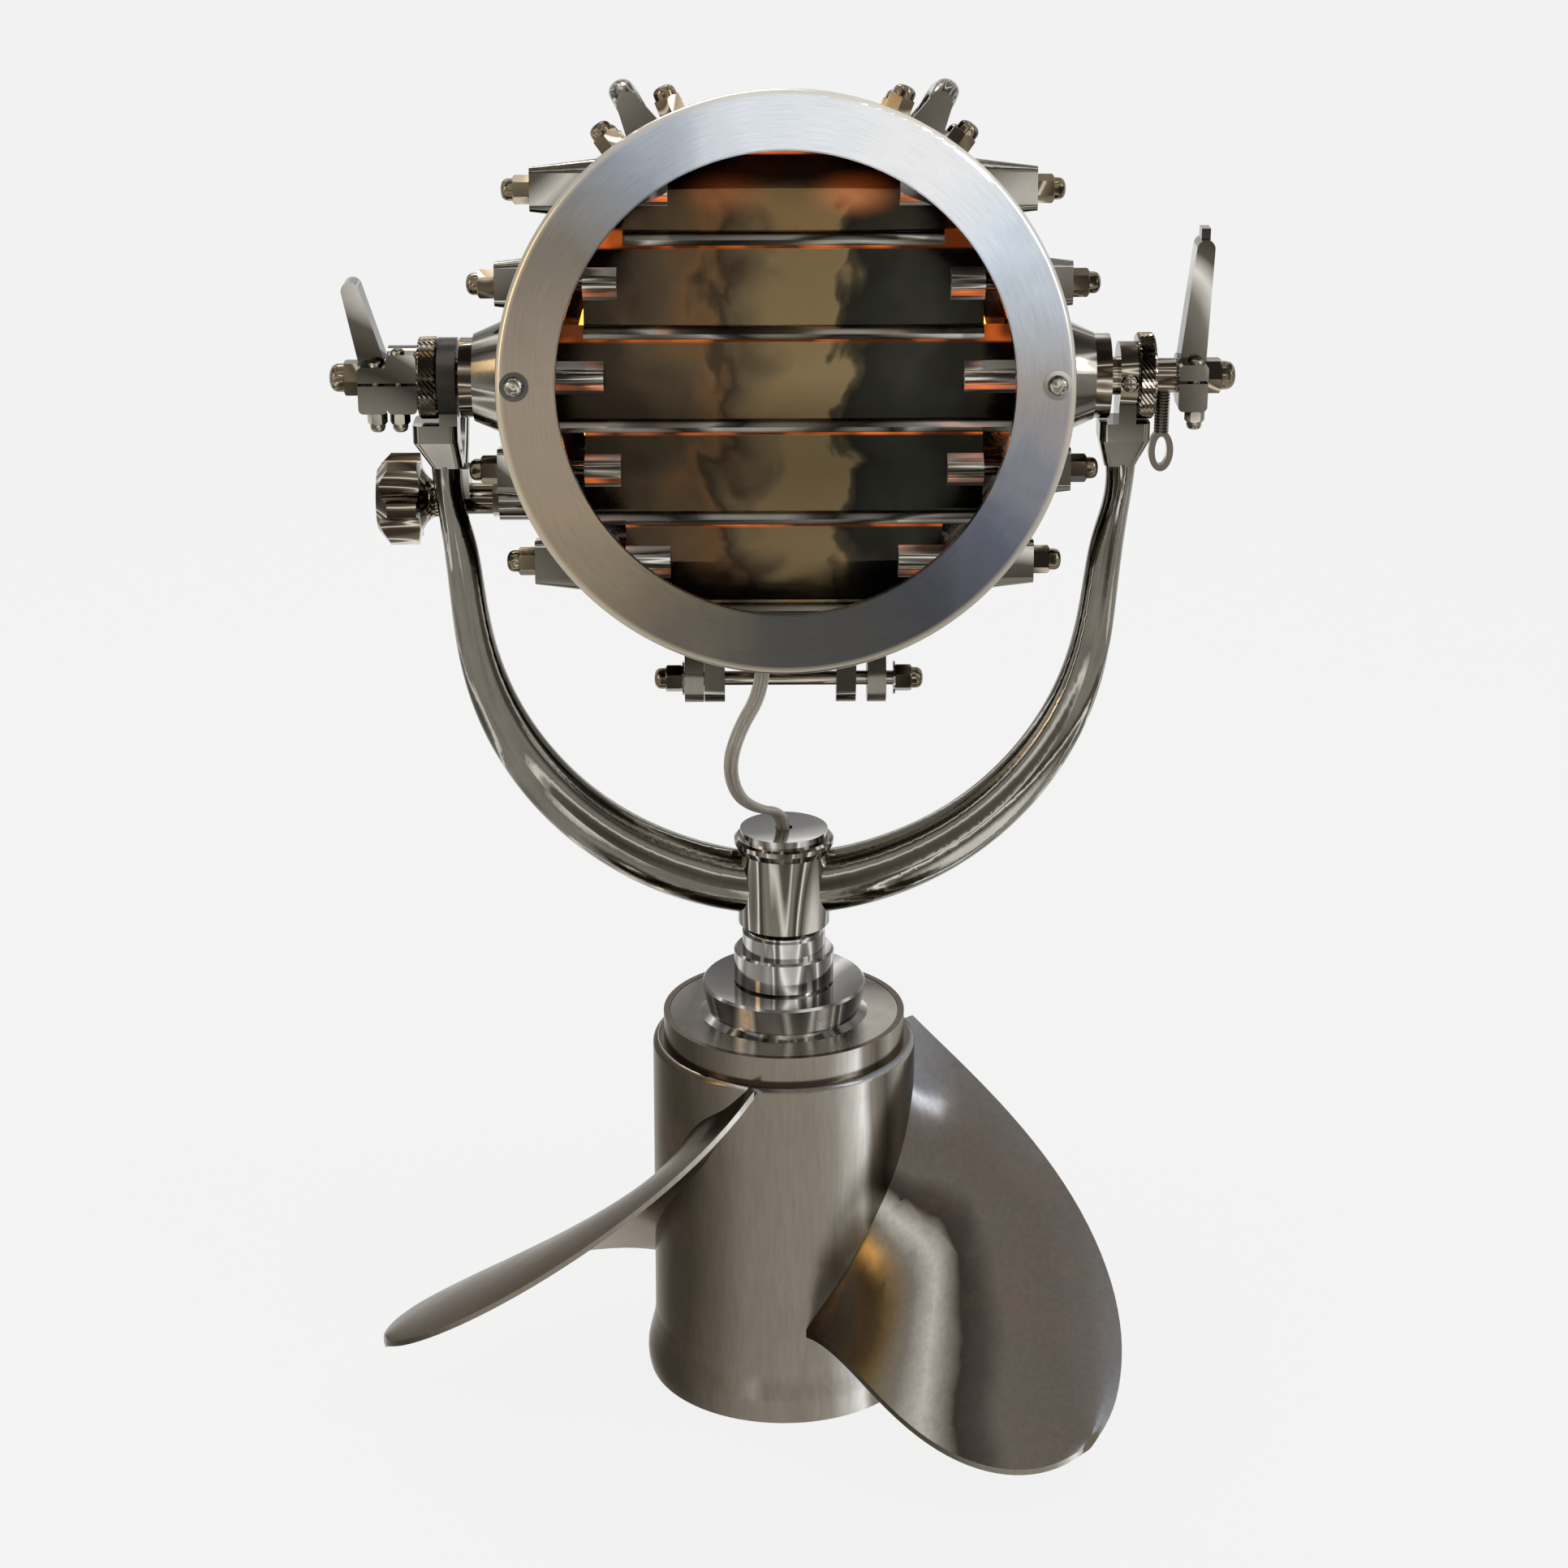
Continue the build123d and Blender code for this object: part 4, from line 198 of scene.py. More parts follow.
# %% Lights
def soft_box(name, place, aim, size, power, tint):
    """Rectangular area light that points at a place on the lamp."""
    data = bpy.data.lights.new(name, "AREA")
    data.shape = "RECTANGLE"
    data.size, data.size_y = size
    data.energy = power
    data.color = linear(tint)[:3]
    light = bpy.data.objects.new(name, data)
    bpy.context.scene.collection.objects.link(light)
    light.location = place
    light.rotation_euler = (Vector(aim) - Vector(place)).to_track_quat("-Z", "Y").to_euler()
    print(name, "watts:", power)


soft_box("window_right", place=(1.3, -0.7, 1.2), aim=(0, 0, 0.35), size=(0.4, 1.0), power=5.0, tint="eef2ff")
soft_box("lamp_left", place=(-1.2, -0.6, 0.9), aim=(0, 0, 0.35), size=(0.25, 0.8), power=3.0, tint="ffdca8")
soft_box("lamp_above", place=(-0.3, 0.9, 1.6), aim=(0, 0, 0.4), size=(0.6, 0.4), power=4.0, tint="fff6ea")

# %% [markdown]
# Polished steel and plated brass have almost no colour of their own: the eye reads the room in them.
# A lamp in a shop shows dark walls, a few pale windows and a brownish floor, broken into bands.
# On a pale ground that room is missing, so its reflection is painted into the colour: noise that is
# read through the way the surface faces, and a little through its place.
# Round pieces then get painted reflection bands along their length, and flat faces get one painted tone each.

# %% Painted room reflections
def scale_of(size_mm):
    """Noise scale for features of this size, on coordinates in metres."""
    return 1000.0 / size_mm


def painted_room_reflections(tree, faces, place_mm, stops, seed, stretch=(1, 1, 1)):
    """Painted reflection: colour that changes with the facing of the surface and slowly with its place."""
    place = add_node(tree, "TexCoord")
    turned = add_node(tree, "VectorMath", {"operation": "SCALE", "Scale": faces}, {
        0: place.outputs["Normal"]})
    near = tuple(scale_of(place_mm) * s for s in stretch)
    shifted = add_node(tree, "VectorMath", {"operation": "MULTIPLY_ADD", 1: near}, {
        0: place.outputs["Object"], 2: turned})
    tones = add_node(tree, "TexNoise", {
        "noise_dimensions": "4D", "W": seed, "Scale": 1.0, "Detail": 0.6, "Roughness": 0.45,
        "Distortion": 0.2}, {"Vector": shifted})
    return add_node(tree, "ValToRGB", links={"Fac": tones}, stops=stops), place


print("noise scale for features of 90 mm:", round(scale_of(90), 1))

# %% [markdown]
# Buffing leaves lines finer than a hair, and handling leaves greyer, rougher patches.
# The lines are too fine to show at this distance, so they are drawn about a millimetre apart,
# and the patches of wear are a few centimetres wide.

# %% Polished metals
GRIME_MM = 25


def polished_metal(name, stops, roughness, faces, place_mm, seed, line_mm=1.2, line_stretch=(1, 1, 1),
                   bump=0.04):
    """Mirror metal with painted room reflections, fine buffing lines and rougher patches of wear."""
    material, tree, shader = new_finish(name)
    # The base tone is a painted reflection of a room, which the patches of wear then darken.
    tone, place = painted_room_reflections(tree, faces, place_mm, stops, seed)
    spread = add_node(tree, "Mapping", {"Scale": line_stretch}, {"Vector": place.outputs["Object"]})
    lines = add_node(tree, "TexNoise", {"Scale": scale_of(line_mm), "Detail": 3.0, "Roughness": 0.6}, {
        "Vector": spread})
    patches = add_node(tree, "TexNoise", {"Scale": scale_of(GRIME_MM), "Detail": 4.0, "Roughness": 0.65}, {
        "Vector": place.outputs["Object"]})
    grime = add_node(tree, "MapRange", {
        "From Min": 0.35, "From Max": 0.75, "To Min": 1.0, "To Max": 0.8}, {"Value": patches})
    grimy_reflection = add_node(tree, "VectorMath", {"operation": "SCALE"}, {0: tone, "Scale": grime})
    wear = add_node(tree, "Math", {"operation": "MULTIPLY"}, {0: lines, 1: patches})
    gloss = add_node(tree, "MapRange", {
        "From Min": 0.1, "From Max": 0.45, "To Min": roughness * 0.6, "To Max": roughness * 1.6}, {
        "Value": wear})
    relief = add_node(tree, "Bump", {"Strength": bump, "Distance": 0.0003}, {"Height": lines})
    set_up(tree, shader, {"Metallic": 1.0}, {"Base Color": grimy_reflection, "Roughness": gloss, "Normal": relief})
    return material


print("patches of wear in mm:", GRIME_MM)

# %% [markdown]
# The metals differ in the painted reflection tones that they show, in how sharply they mirror and in how fast
# those painted tones change as the surface turns. Small pieces get small features, and large ones long bands.

# %% Finish of each metal
finishes = {
    # Cover of the barrel: satin stainless steel, with pale and soft painted reflections.
    "satin_cover": polished_metal(
        "satin_stainless_cover",
        [(0.3, "5f5850"), (0.45, "7d766c"), (0.52, "5d574f"), (0.58, "8d867c"), (0.7, "b3ada3")],
        roughness=0.26, faces=1.2, place_mm=90, seed=1.0),
    # Turned steel: painted reflections in clean narrow rings, with sharp painted highlights on the flanks.
    "turned_steel": polished_metal(
        "turned_steel",
        [(0.3, "3c3a37"), (0.4, "706d69"), (0.44, "b9b6b1"), (0.46, "f4f2ee"), (0.485, "8b8883"),
         (0.53, "55524e"), (0.58, "85827d"), (0.61, "e8e6e1"), (0.64, "7d7a75"), (0.7, "a5a29d"),
         (0.76, "e6e4e0")],
        roughness=0.1, faces=1.7, place_mm=150, seed=5.2, line_mm=0.8, line_stretch=(0.2, 0.2, 1), bump=0.02),
    # Plain steel pins and screws: greyer painted reflections, with painted warm glints.
    "steel_fixings": polished_metal(
        "plain_steel",
        [(0.32, "3c3630"), (0.44, "6b6358"), (0.48, "c9c1b2"), (0.51, "5b5348"), (0.58, "857c70"),
         (0.64, "e0d8c8"), (0.7, "8c8375")],
        roughness=0.16, faces=2.0, place_mm=50, seed=2.4, bump=0.02),
    # Drum, handles, levers and yoke: polished casting, grey-brown painted reflections with long thin painted
    # highlights.
    "polished_casting": polished_metal(
        "polished_casting",
        [(0.3, "25221d"), (0.37, "3d3932"), (0.42, "5e594f"), (0.445, "d5d0c5"), (0.465, "757065"),
         (0.5, "807b71"), (0.53, "6a655b"), (0.56, "3a362f"), (0.59, "5c574d"), (0.61, "ece8df"),
         (0.63, "7d786d"), (0.67, "48443b"), (0.72, "8a857b"), (0.78, "d0ccc3")],
        roughness=0.12, faces=1.5, place_mm=150, seed=7.7, bump=0.02),
    # Blackened ring: oxide on steel, which takes the mirror away and leaves a dull grey.
    "dark_steel": polished_metal(
        "blackened_steel", [(0.35, "1f1d1b"), (0.52, "3a3632"), (0.7, "5b554f")],
        roughness=0.35, faces=1.4, place_mm=60, seed=0.6),
    # Nickel plate over cast brass: painted reflections, nearly black in places, with painted warm glints.
    "nickel_plate": polished_metal(
        "nickel_plate",
        [(0.3, "1d1814"), (0.4, "40372d"), (0.44, "7d705d"), (0.462, "ece5d8"), (0.48, "5f5445"),
         (0.52, "2e2720"), (0.56, "685c4c"), (0.595, "a3967f"), (0.612, "f4eee2"), (0.635, "736655"),
         (0.7, "3d342a"), (0.78, "b5a68c")],
        roughness=0.08, faces=1.8, place_mm=60, seed=4.4, bump=0.02),
    # The dome nuts are the same plate, with warmer painted reflections and painted glints.
    "dome_nut_plate": polished_metal(
        "dome_nut_plate",
        [(0.3, "2a241e"), (0.42, "4d4336"), (0.465, "776a54"), (0.478, "e6dcc6"), (0.49, "5a4e3e"),
         (0.54, "776b58"), (0.585, "564b3c"), (0.597, "d9cbb0"), (0.61, "5d5140"), (0.68, "8a7c64"),
         (0.76, "4a4034")],
        roughness=0.12, faces=1.7, place_mm=45, seed=9.3, bump=0.02),
    # Spun reflector: silvered and clean.
    "mirror": polished_metal(
        "silvered_mirror", [(0.3, "a9a5a0"), (0.7, "dcdad6")],
        roughness=0.04, faces=1.0, place_mm=90, seed=8.0),
    # Cap of the bulb: brass sheet, dull yellow.
    "brass": polished_metal(
        "plain_brass", [(0.3, "5a421c"), (0.5, "8d6b31"), (0.7, "c7a665")],
        roughness=0.22, faces=2.0, place_mm=40, seed=1.7),
}
print("metals so far:", len(finishes))

# %% [markdown]
# The propeller is cast stainless steel, ground and then buffed with a cloth wheel.
# Its barrel is a large upright mirror and its blades are large sloping ones, so their reflections are painted
# into the colour:
# one row of painted reflection tones goes round the barrel, dark at the left, grey-brown in front and bright
# at the right, and another goes across the blades, with one painted bright and one painted dark line where
# the blade curls over.
# The sideways part of the surface's normal picks the tone, and noise bends the lines a little.

# %% Cast propeller
TONE_SWAY = 0.1
SWAY_MM = 90
BUFFING_MM = 2.0
STAIN_MM = 32


def buffed_metal(name, walls, slopes, stain_share):
    """Buffed metal with painted reflections: one row of tones for upright walls and one for slopes that face
    up.
    """
    material, tree, shader = new_finish(name)
    place = add_node(tree, "TexCoord")
    facing = add_node(tree, "SeparateXYZ", links={0: place.outputs["Normal"]})
    sway = add_node(tree, "TexNoise", {"Scale": scale_of(SWAY_MM), "Detail": 1.0, "Distortion": 0.3}, {
        "Vector": place.outputs["Object"]})
    # The normal's X runs from -1 to 1, and half of it round the ramp's middle from 0 to 1.
    sideways = add_node(tree, "Math", {"operation": "MULTIPLY_ADD", 1: 0.5, 2: 0.5 - TONE_SWAY / 2}, {
        0: facing.outputs["X"]})
    bent = add_node(tree, "Math", {"operation": "MULTIPLY_ADD", 1: TONE_SWAY}, {0: sway, 2: sideways})
    wall = add_node(tree, "ValToRGB", links={"Fac": bent}, stops=walls)
    slope = add_node(tree, "ValToRGB", links={"Fac": bent}, stops=slopes)
    upward = add_node(tree, "MapRange", {"From Min": 0.15, "From Max": 0.5}, {"Value": facing.outputs["Z"]})
    tone = add_node(tree, "Mix", {"data_type": "RGBA"}, {0: upward, 6: wall, 7: slope})
    # Buffing lines run up the barrel. Real ones don't show, so these are two millimetres wide.
    spread = add_node(tree, "Mapping", {"Scale": (1, 1, 0.12)}, {"Vector": place.outputs["Object"]})
    lines = add_node(tree, "TexNoise", {"Scale": scale_of(BUFFING_MM), "Detail": 3.0, "Roughness": 0.6}, {
        "Vector": spread})
    cloud = add_node(tree, "TexNoise", {"Scale": scale_of(STAIN_MM), "Detail": 4.0, "Roughness": 0.6}, {
        "Vector": place.outputs["Object"]})
    stain = add_node(tree, "MapRange", {
        "From Min": 0.52, "From Max": 0.72, "To Min": 0.0, "To Max": stain_share}, {"Value": cloud})
    stained = add_node(tree, "Mix", {"data_type": "RGBA", 7: linear("7d6352")}, {0: stain, 6: tone})
    shade = add_node(tree, "MapRange", {
        "From Min": 0.3, "From Max": 0.7, "To Min": 0.92, "To Max": 1.08}, {"Value": lines})
    colour = add_node(tree, "VectorMath", {"operation": "SCALE"}, {0: stained, "Scale": shade})
    gloss = add_node(tree, "MapRange", {
        "From Min": 0.3, "From Max": 0.7, "To Min": 0.16, "To Max": 0.26}, {"Value": cloud})
    relief = add_node(tree, "Bump", {"Strength": 0.03, "Distance": 0.0003}, {"Height": lines})
    # Buffed metal that is a little rough doesn't turn white at a grazing angle.
    set_up(tree, shader, {"Metallic": 1.0, "Specular Tint": linear("dcd8d2")}, {
        "Base Color": colour, "Roughness": gloss, "Normal": relief})
    return material


finishes["polished_stainless"] = buffed_metal(
    "buffed_cast_stainless",
    [(0.0, "4a443c"), (0.05, "322c24"), (0.13, "3f382f"), (0.24, "5f574c"), (0.34, "7c7468"),
     (0.5, "867e73"), (0.6, "877f74"), (0.68, "938c81"), (0.75, "c9c5bd"), (0.79, "f4f2ee"),
     (0.82, "8f887d"), (0.88, "5c554b"), (0.93, "a29c93"), (1.0, "6a655d")],
    [(0.1, "39342f"), (0.2, "4a433c"), (0.26, "4b3d28"), (0.3, "6a5839"), (0.345, "7d766c"),
     (0.385, "c3bfb8"), (0.41, "8c857c"), (0.43, "3b3630"), (0.46, "4b453f"), (0.49, "6a625b"),
     (0.56, "665e57"), (0.62, "6a645e"), (0.7, "7b7b7d"), (0.82, "929498")],
    stain_share=0.18)

# %% [markdown]
# The domed rear cover is spun from sheet and polished. It is seen from behind and from the sides.
# A dome shows the whole room in small, so its reflection is painted as upright bands that run together at its
# top, which are made in the same way as the painted tones of the barrel.

# %% Rear cover
COVER_BANDS = [
    (0.0, "3a362f"), (0.08, "57524a"), (0.16, "8e897f"), (0.2, "dedad2"), (0.23, "8b857a"),
    (0.32, "635e55"), (0.42, "787268"), (0.5, "8d877c"), (0.57, "6a645a"), (0.64, "4a453d"),
    (0.72, "69645a"), (0.77, "c9c4ba"), (0.8, "f0ede6"), (0.83, "857f74"), (0.92, "4a453d"),
    (1.0, "6a655c")]
# A slope that faces up never turns fully sideways, so it leaves out the outermost bands.
SLOPE_BANDS = [(place, code) for place, code in COVER_BANDS if 0.1 < place < 0.95]

spun_cover = buffed_metal("polished_spun_cover", COVER_BANDS, SLOPE_BANDS, stain_share=0.05)
print("bands on the cover's walls and slopes:", len(COVER_BANDS), len(SLOPE_BANDS))

# %% [markdown]
# The head tilts ten degrees back, so patterns on it are easier to place in its own directions.
# A Mapping node of the Texture type undoes a place and a turn: after it, X runs across the lamp,
# Z runs up the lamp's face, and Y runs back along its axis.
# The centre is the place of the tilt joint, which the record holds.

# %% Directions of the lamp head
tilt_joint = next(joint for joint in frame["record"]["behaviour"]["joints"] if joint["name"] == "tilt")
HEAD_CENTRE = tuple(tilt_joint["pos_m"])
HEAD_TILT = math.radians(10)


def head_place(tree, output):
    """Object coordinates turned and centred on the lamp head, whole and split into X, Y and Z."""
    turned = add_node(tree, "Mapping", {
        "vector_type": "TEXTURE", "Location": HEAD_CENTRE, "Rotation": (-HEAD_TILT, 0, 0)}, {
        "Vector": output})
    return turned, add_node(tree, "SeparateXYZ", links={0: turned})


print("head centre:", HEAD_CENTRE, "tilt in degrees:", round(math.degrees(HEAD_TILT), 1))

# %% [markdown]
# The five shutter vanes are aluminium sheet, polished to a mirror. They lie 37 mm apart behind the glass.
# In the dark of the drum they show a painted reflection: a tan patch in the middle, brown at the left
# and nearly black at the right, all in upright bands that differ a little from vane to vane.
# The place across the face picks the band, noise sways it, and painted shade by the height on the face makes
# it
# lighter or darker: the lower vanes are darker, and the lowest is painted lighter again, as if lit by the
# rim.

# %% Bands of the vanes
VANE_PITCH = 0.037
FACE_HALF = 2.5 * VANE_PITCH
BAND_REACH = 0.1
BAND_SWAY = 0.34
BAND_SWAY_MM = 30


def vane_bands(tree, turned, parts):
    """Painted reflection bands over the whole face, with painted shade that darkens the lower vanes."""
    sway = add_node(tree, "TexNoise", {
        "noise_dimensions": "4D", "W": 2.6, "Scale": scale_of(BAND_SWAY_MM), "Detail": 3.0,
        "Distortion": 0.9}, {"Vector": turned})
    across = add_node(tree, "MapRange", {"From Min": -BAND_REACH, "From Max": BAND_REACH}, {
        "Value": parts.outputs["X"]})
    swayed = add_node(tree, "Math", {"operation": "MULTIPLY_ADD", 1: BAND_SWAY}, {0: sway, 2: across})
    band = add_node(tree, "Math", {"operation": "SUBTRACT", 1: BAND_SWAY / 2}, {0: swayed})
    tone = add_node(tree, "ValToRGB", links={"Fac": band}, stops=[
        (0.02, "332a20"), (0.16, "41362a"), (0.28, "5f503d"), (0.35, "7a5c3e"), (0.385, "493c2d"),
        (0.45, "75654b"), (0.5, "927b57"), (0.6, "947f5b"), (0.618, "544a38"), (0.65, "2d2c26"),
        (0.76, "3e3d35"), (0.85, "2a2923"), (1.0, "4a3d29")])
    height = add_node(tree, "MapRange", {"From Min": -FACE_HALF, "From Max": FACE_HALF}, {
        "Value": parts.outputs["Z"]})
    # Painted shade by height: darker lower vanes, the lowest lighter again, and a darker band at the top.
    level = add_node(tree, "ValToRGB", links={"Fac": height}, stops=[
        (0.02, "d8d8d8"), (0.14, "e2e2e2"), (0.3, "c2c2c2"), (0.42, "cccccc"), (0.5, "ffffff"),
        (0.62, "f4f4f4"), (0.72, "eeeeee"), (0.85, "ece2d6"), (0.97, "b0aaa0")])
    return add_node(tree, "Mix", {"data_type": "RGBA", "blend_type": "MULTIPLY", 0: 1.0}, {
        6: tone, 7: level})


print("vane pitch in mm:", 1000 * VANE_PITCH)

# %% [markdown]
# The bulb behind the vanes is warm, and its reflection on the top vane is painted as two blurred orange
# spots, in the colour and as a faint glow.
# Each spot is a distance from its middle, stretched sideways and faded out smoothly.

# %% Warm spots on the top vane
WARM_SPOTS = (((0.028, 0.0, 0.072), 0.7), ((-0.022, 0.0, 0.072), 0.3))
SPOT_REACH = (0.022, 1.0, 0.011)


def warm_spots(tree, turned, tone):
    """Tints the tone with the painted reflection spots; returns the new tone and the strength of the spots,
    which also feeds a painted glow.
    """
    strengths = []
    for middle, share in WARM_SPOTS:
        near = add_node(tree, "Mapping", {
            "vector_type": "TEXTURE", "Location": middle, "Scale": SPOT_REACH}, {"Vector": turned})
        distance = add_node(tree, "VectorMath", {"operation": "LENGTH"}, {0: near})
        faded = add_node(tree, "MapRange", {
            "interpolation_type": "SMOOTHSTEP", "From Min": 0.0, "From Max": 1.0, "To Min": share,
            "To Max": 0.0}, {"Value": distance})
        tone = add_node(tree, "Mix", {"data_type": "RGBA", 7: linear("b98156")}, {0: faded, 6: tone})
        strengths.append(faded)
    return tone, add_node(tree, "Math", {"operation": "ADD"}, dict(enumerate(strengths)))


print("spots on the top vane:", len(WARM_SPOTS))

# %% [markdown]
# The bulb's light that leaks through the gaps is painted on as a glow of emission: a thin orange line under
# each lip and painted light on the undersides of the lugs, stronger in some places than in others.
# The line starts 13 to 15 mm above each pivot, where the sheet is set back under the next lip.

# %% Glow at the gaps
LINE_START = 0.0132
LINE_FULL = 0.0146
LINE_END = 0.021
SET_BACK = -0.0023
LUG_FRONT = -0.0076
GLOW_PATCH_MM = 24


def gap_glow(tree, place, turned, parts):
    """Strength of the painted glow of the bulb's light on the sheet, from 0 to 1."""
    # Ten whole pitches are added, because the remainder of a negative height is negative.
    lifted = add_node(tree, "Math", {"operation": "ADD", 1: 10 * VANE_PITCH}, {0: parts.outputs["Z"]})
    step = add_node(tree, "Math", {"operation": "MODULO", 1: VANE_PITCH}, {0: lifted})
    under_lip = add_node(tree, "MapRange", {
        "interpolation_type": "SMOOTHSTEP", "From Min": LINE_START, "From Max": LINE_FULL}, {"Value": step})
    below_top = add_node(tree, "Math", {"operation": "LESS_THAN", 1: LINE_END}, {0: step})
    line = add_node(tree, "Math", {"operation": "MULTIPLY"}, {0: under_lip, 1: below_top})
    behind = add_node(tree, "Math", {"operation": "GREATER_THAN", 1: SET_BACK}, {0: parts.outputs["Y"]})
    line_glow = add_node(tree, "Math", {"operation": "MULTIPLY"}, {0: line, 1: behind})
    facing = add_node(tree, "SeparateXYZ", links={0: place.outputs["Normal"]})
    downward = add_node(tree, "MapRange", {
        "From Min": -0.25, "From Max": -0.75, "To Min": 0.0, "To Max": 0.8}, {"Value": facing.outputs["Z"]})
    on_lug = add_node(tree, "Math", {"operation": "LESS_THAN", 1: LUG_FRONT}, {0: parts.outputs["Y"]})
    lug_glow = add_node(tree, "Math", {"operation": "MULTIPLY"}, {0: downward, 1: on_lug})
    both = add_node(tree, "Math", {"operation": "MAXIMUM"}, {0: line_glow, 1: lug_glow})
    patches = add_node(tree, "TexNoise", {
        "noise_dimensions": "4D", "W": 5.5, "Scale": scale_of(GLOW_PATCH_MM), "Detail": 2.0}, {
        "Vector": turned})
    strong = add_node(tree, "MapRange", {
        "From Min": 0.45, "From Max": 0.65, "To Min": 0.1, "To Max": 1.0}, {"Value": patches})
    return add_node(tree, "Math", {"operation": "MULTIPLY"}, {0: both, 1: strong})


print("orange line from and to, in mm above a pivot:", 1000 * LINE_START, 1000 * LINE_END)

# %% [markdown]
# The lips of the vanes and the lugs of their pins stand forward into the light, and get a painted chrome
# reflection with painted highlights.
# They are told apart from the sheet by their place along the head's axis: they start
# about 4.7 mm in front of the pivots. A faint glow of emission is painted on them, as light that comes in
# through the glass front from above.
# The sheet has rub marks, drawn three millimetres apart so that they show, and shallow dents.

# %% Shutter vanes
LIP_START = -0.0042
LIP_FULL = -0.0052
LIP_LIGHT = 0.2
SPOT_GLOW = 0.22
RUB_MM = 3
DENT_MM = 30


def shutter_sheet(name):
    """Dark polished sheet with painted reflection bands, painted bright lips and lugs with a faint painted
    glow, and a painted warm glow at the gaps.
    """
    material, tree, shader = new_finish(name)
    place = add_node(tree, "TexCoord")
    turned, parts = head_place(tree, place.outputs["Object"])
    tone, spots = warm_spots(tree, turned, vane_bands(tree, turned, parts))
    # Painted chrome reflection and highlights for the lips and lugs.
    bright, _ = painted_room_reflections(tree, faces=1.6, place_mm=16, seed=6.1, stretch=(0.25, 1, 1), stops=[
        (0.3, "34302a"), (0.4, "6f6a60"), (0.46, "c9c4b8"), (0.5, "e6e3da"), (0.54, "7a756a"),
        (0.6, "45413a"), (0.66, "a9a498"), (0.74, "e8e6e0")])
    forward = add_node(tree, "MapRange", {
        "From Min": LIP_START, "From Max": LIP_FULL, "To Min": 0.0, "To Max": 1.0}, {
        "Value": parts.outputs["Y"]})
    lit = add_node(tree, "Mix", {"data_type": "RGBA"}, {0: forward, 6: tone, 7: bright})
    # Painted glow as emission: the warm spots, the gap line and a faint painted light on the lips.
    glow = add_node(tree, "Math", {"operation": "MULTIPLY_ADD", 1: SPOT_GLOW}, {
        0: spots, 2: gap_glow(tree, place, turned, parts)})
    lip_light = add_node(tree, "Math", {"operation": "MULTIPLY", 1: LIP_LIGHT}, {0: forward})
    shine = add_node(tree, "Math", {"operation": "ADD"}, {0: glow, 1: lip_light})
    warm_share = add_node(tree, "Math", {"operation": "DIVIDE"}, {0: glow, 1: shine})
    shine_colour = add_node(tree, "Mix", {"data_type": "RGBA", 7: linear("ff7a30")}, {
        0: warm_share, 6: bright})
    spread = add_node(tree, "Mapping", {"Scale": (0.15, 1, 1)}, {"Vector": place.outputs["Object"]})
    rub = add_node(tree, "TexNoise", {"Scale": scale_of(RUB_MM), "Detail": 3.0}, {"Vector": spread})
    gloss = add_node(tree, "MapRange", {"To Min": 0.08, "To Max": 0.24}, {"Value": rub})
    dents = add_node(tree, "TexNoise", {"Scale": scale_of(DENT_MM), "Detail": 1.0}, {
        "Vector": place.outputs["Object"]})
    relief = add_node(tree, "Bump", {"Strength": 0.35, "Distance": 0.002}, {"Height": dents})
    set_up(tree, shader, {"Metallic": 1.0}, {
        "Base Color": lit, "Emission Color": shine_colour, "Emission Strength": shine,
        "Roughness": gloss, "Normal": relief})
    return material


finishes["shutter_metal"] = shutter_sheet("mirror_polished_shutter_sheet")

# %% [markdown]
# The bezel is a flat ring of aluminium, turned on a lathe and brushed round and round.
# Such a ring shows wedges of light that follow the angle, and these are painted into its colour: cool and
# bright at the upper right, warm and brown at the left, and dark at the bottom.
# The angle round the ring picks the painted tone, its rounded rim gets a painted bright line,
# and its side wall, which faces the room and not the light, gets painted shade.

# %% Wedges of light on the bezel
WEDGE_SWAY = 0.1
WEDGE_SWAY_MM = 45
RIM_START = 0.0032
RIM_FULL = 0.0014
WALL_START = 0.0015
WALL_FULL = 0.004


